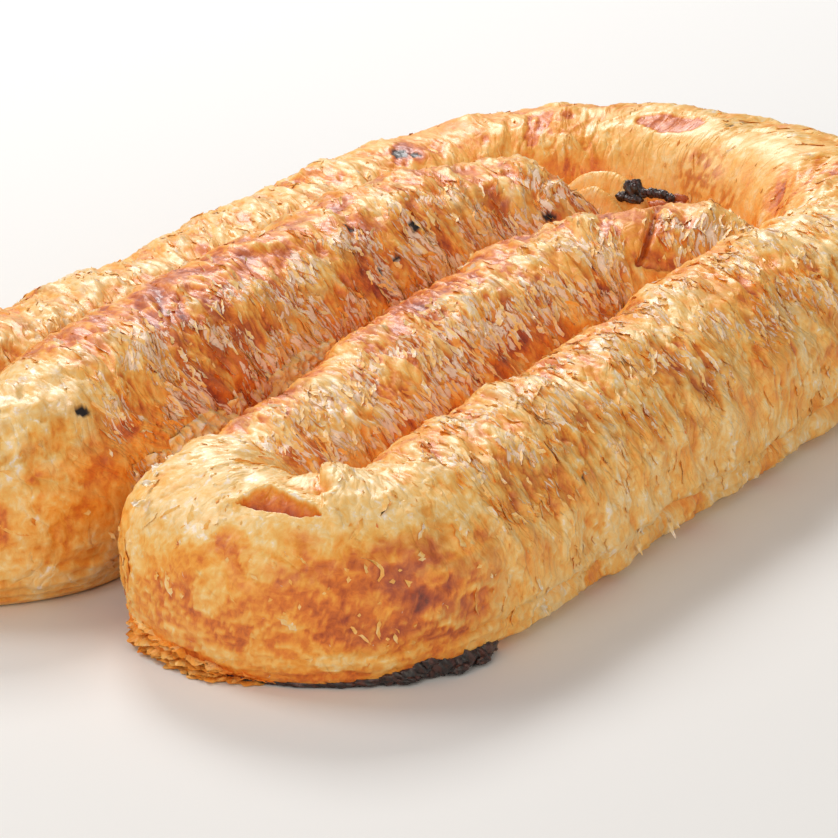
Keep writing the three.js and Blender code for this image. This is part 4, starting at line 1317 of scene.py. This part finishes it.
# Burnt filling: lumps as centre, the three half sizes and the turn about the upright. Along the right
# bend's foot they are given as angle, radius, height and half sizes; the thin low ones from -96 to -52
# degrees are a dark line of painted shade where the foot meets the table.
FOOT_ARC = (
    (-96, 40.2, 0.5, (5.0, 1.2, 0.7)), (-84, 40.0, 0.5, (5.0, 1.2, 0.8)), (-73, 40.2, 0.6, (5.0, 1.3, 0.8)),
    (-62, 40.5, 0.7, (5.0, 1.4, 0.9)), (-52, 40.8, 0.9, (4.6, 1.5, 1.2)), (-44, 41.2, 1.3, (4.2, 1.8, 1.5)),
    (-37, 41.8, 2.0, (4.0, 2.2, 2.0)), (-30, 42.2, 2.6, (4.2, 2.4, 2.6)), (-22, 42.8, 2.9, (4.2, 2.5, 2.8)),
    (-14, 43.2, 2.7, (4.0, 2.5, 2.7)), (-7, 43.4, 2.4, (3.8, 2.3, 2.4)), (-1, 42.6, 1.8, (3.0, 1.8, 1.8)),
    (-26, 43.8, 4.6, (2.8, 1.4, 1.5)), (-33, 43.4, 1.2, (3.0, 1.6, 1.0)), (-17, 44.8, 1.4, (2.8, 1.6, 1.2)),
    (-8, 45.0, 1.2, (2.4, 1.4, 1.0)),
)
FOOT_LUMPS = tuple(
    ((BEND_CENTRE[0] + radius * math.cos(math.radians(angle)),
      BEND_CENTRE[1] + radius * math.sin(math.radians(angle)), height), size, angle + 90)
    for angle, radius, height, size in FOOT_ARC)
HOLLOW_LUMPS = (
    ((-6.0, 111.0, 25.6), (2.7, 2.5, 2.6), 10), ((-3.4, 111.2, 25.2), (2.0, 1.5, 1.3), 0),
    ((-0.8, 111.8, 25.4), (2.0, 1.3, 1.2), 10), ((1.8, 112.3, 25.4), (2.0, 1.3, 1.2), 0),
    ((4.0, 112.4, 24.8), (1.6, 1.2, 1.1), -10), ((-4.6, 108.6, 24.0), (2.6, 1.4, 1.1), 10),
    ((-7.6, 108.8, 24.2), (1.8, 1.4, 1.2), 40),
)
RED_CRUST_LUMPS = (
    ((5.5, 114.6, 24.2), (2.4, 1.4, 1.1), 20), ((3.0, 109.2, 23.6), (2.8, 1.4, 1.0), 10),
    ((7.5, 111.6, 23.4), (2.2, 1.4, 1.0), 0),
)
LUMP_POINTS = 26


def lump_parts(lumps, seed, tone, char, mauve):
    """Knobbly lumps, closed all round."""
    parts = []
    for index, (centre, size, turn) in enumerate(lumps):
        rows, columns = LUMP_POINTS, 2 * LUMP_POINTS
        tilt = np.linspace(0.02, math.pi - 0.02, rows)[:, None]
        around = np.linspace(0, 2 * math.pi, columns, endpoint=False)[None]
        x, y, z = (np.sin(tilt) * np.cos(around), np.sin(tilt) * np.sin(around),
                   np.cos(tilt) + 0 * around)
        base = seed + 7 * index
        knobs = (0.26 * noise(x * 1.9 + z, y * 1.9 - z, base)
                 + 0.16 * noise(x * 4 + 2 * z, y * 4 - z, base + 1)
                 + 0.10 * noise(x * 9 + 5 * z, y * 9 - 4 * z, base + 2)
                 + 0.05 * noise(x * 19 - 9 * z, y * 19 + 8 * z, base + 3))
        grow = 1 + knobs
        a = math.radians(turn)
        px, py = x * size[0] * grow, y * size[1] * grow
        points = np.stack([centre[0] + px * math.cos(a) - py * math.sin(a),
                           centre[1] + px * math.sin(a) + py * math.cos(a),
                           centre[2] + z * size[2] * grow], -1)
        points[..., 2] = np.maximum(points[..., 2], 0.05)
        burn = char + 0.25 * noise(x * 3 + z, y * 3, base + 4)
        rope = rope_places(points[..., 0] * 3, points[..., 1] * 3, points[..., 2])
        parts.append(sheet_part(points, tone + 0.1 * knobs, 0.3, rope, mauve, np.clip(burn, 0, 1), True))
    return parts


BURNT_LOOK = crust_material("burnt_filling_look", 0.7)
# the foot lumps are burnt filling and, along the bend's left part, a line of painted shade
for name, lumps, node in (("burnt_lumps_and_shade_line_foot", FOOT_LUMPS, "burnt_filling_foot"),
                          ("burnt_lumps_hollow", HOLLOW_LUMPS, "burnt_filling_hollow")):
    lump = join(name, lump_parts(lumps, 401, 0.9, 0.93, 0.3))
    lump.data.materials.append(BURNT_LOOK)
    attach(lump, "root")
    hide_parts(node)
red_crust = join("red_crust", lump_parts(RED_CRUST_LUMPS, 451, 0.72, 0.0, 0.25))
red_crust.data.materials.append(CRUST_LOOK)
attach(red_crust, "root")

loose = join("loose_wisps", scattered_wisps())
loose.data.materials.append(CRUST_LOOK)
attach(loose, "root")

# ------------------------------------------------------------------ floor, light, camera

bpy.ops.mesh.primitive_plane_add(size=8.0, location=(0, 0, -0.0002))
ground = bpy.context.object
ground.name = "ground"
ground_look = bpy.data.materials.new("ground_white")
ground_look.use_nodes = True
ground_surface = ground_look.node_tree.nodes["Principled BSDF"]
ground_surface.inputs["Base Color"].default_value = (0.86, 0.86, 0.86, 1)
ground_surface.inputs["Roughness"].default_value = 0.8
ground.data.materials.append(ground_look)


def aim(azimuth, elevation):
    """Direction towards a place seen at an azimuth from the front and an elevation."""
    a, e = math.radians(azimuth), math.radians(elevation)
    return Vector((math.sin(a) * math.cos(e), -math.cos(a) * math.cos(e), math.sin(e)))


def look_from(name, data, way, middle, distance):
    """An object that looks at `middle` from a distance."""
    seer = bpy.data.objects.new(name, data)
    seer.location = middle + way * distance
    seer.rotation_euler = (-way).to_track_quat("-Z", "Y").to_euler()
    bpy.context.scene.collection.objects.link(seer)
    return seer


# Soft lights: name, azimuth, elevation, distance, size, power, colour.
LIGHTS = (
    ("back_key", 222, 40, 1.6, 0.45, 13.5, (1.0, 0.98, 0.96)),
    ("left_key", -80, 45, 1.5, 0.6, 8, (1.0, 0.98, 0.95)),
    ("front_fill", 5, 30, 1.8, 1.0, 8.5, (1.0, 0.92, 0.82)),
    ("right_fill", 75, 22, 1.8, 1.0, 6.5, (1.0, 0.88, 0.72)),
)
for name, azimuth, elevation, distance, size, power, colour in LIGHTS:
    light = bpy.data.lights.new(name, "AREA")
    light.shape = "SQUARE"
    light.size = size
    light.energy = power
    light.color = colour
    look_from(name, light, aim(azimuth, elevation), Vector((0, 0, 0)), distance)

WORLD_LIGHT = 0.26
world = bpy.data.worlds.new("studio")
bpy.context.scene.world = world
world.use_nodes = True
world.node_tree.nodes["Background"].inputs["Color"].default_value = (1, 1, 1, 1)
world.node_tree.nodes["Background"].inputs["Strength"].default_value = WORLD_LIGHT

CAMERA_TARGET = np.array([-1.0, -3.0, 0.0])
CAMERA_AZIMUTH = 31.5
CAMERA_ELEVATION = 20.7
CAMERA_DISTANCE = 1.29
FOCAL_LENGTH = 228.33

camera_data = bpy.data.cameras.new("camera")
camera_data.lens = FOCAL_LENGTH
camera_data.sensor_width = 36.0
camera_data.clip_start = 0.01
camera = look_from("camera", camera_data, aim(CAMERA_AZIMUTH, CAMERA_ELEVATION),
                   Vector(place(CAMERA_TARGET)), CAMERA_DISTANCE)
bpy.context.scene.camera = camera
bpy.context.scene.view_settings.view_transform = "Standard"
bpy.context.scene.view_settings.look = "None"
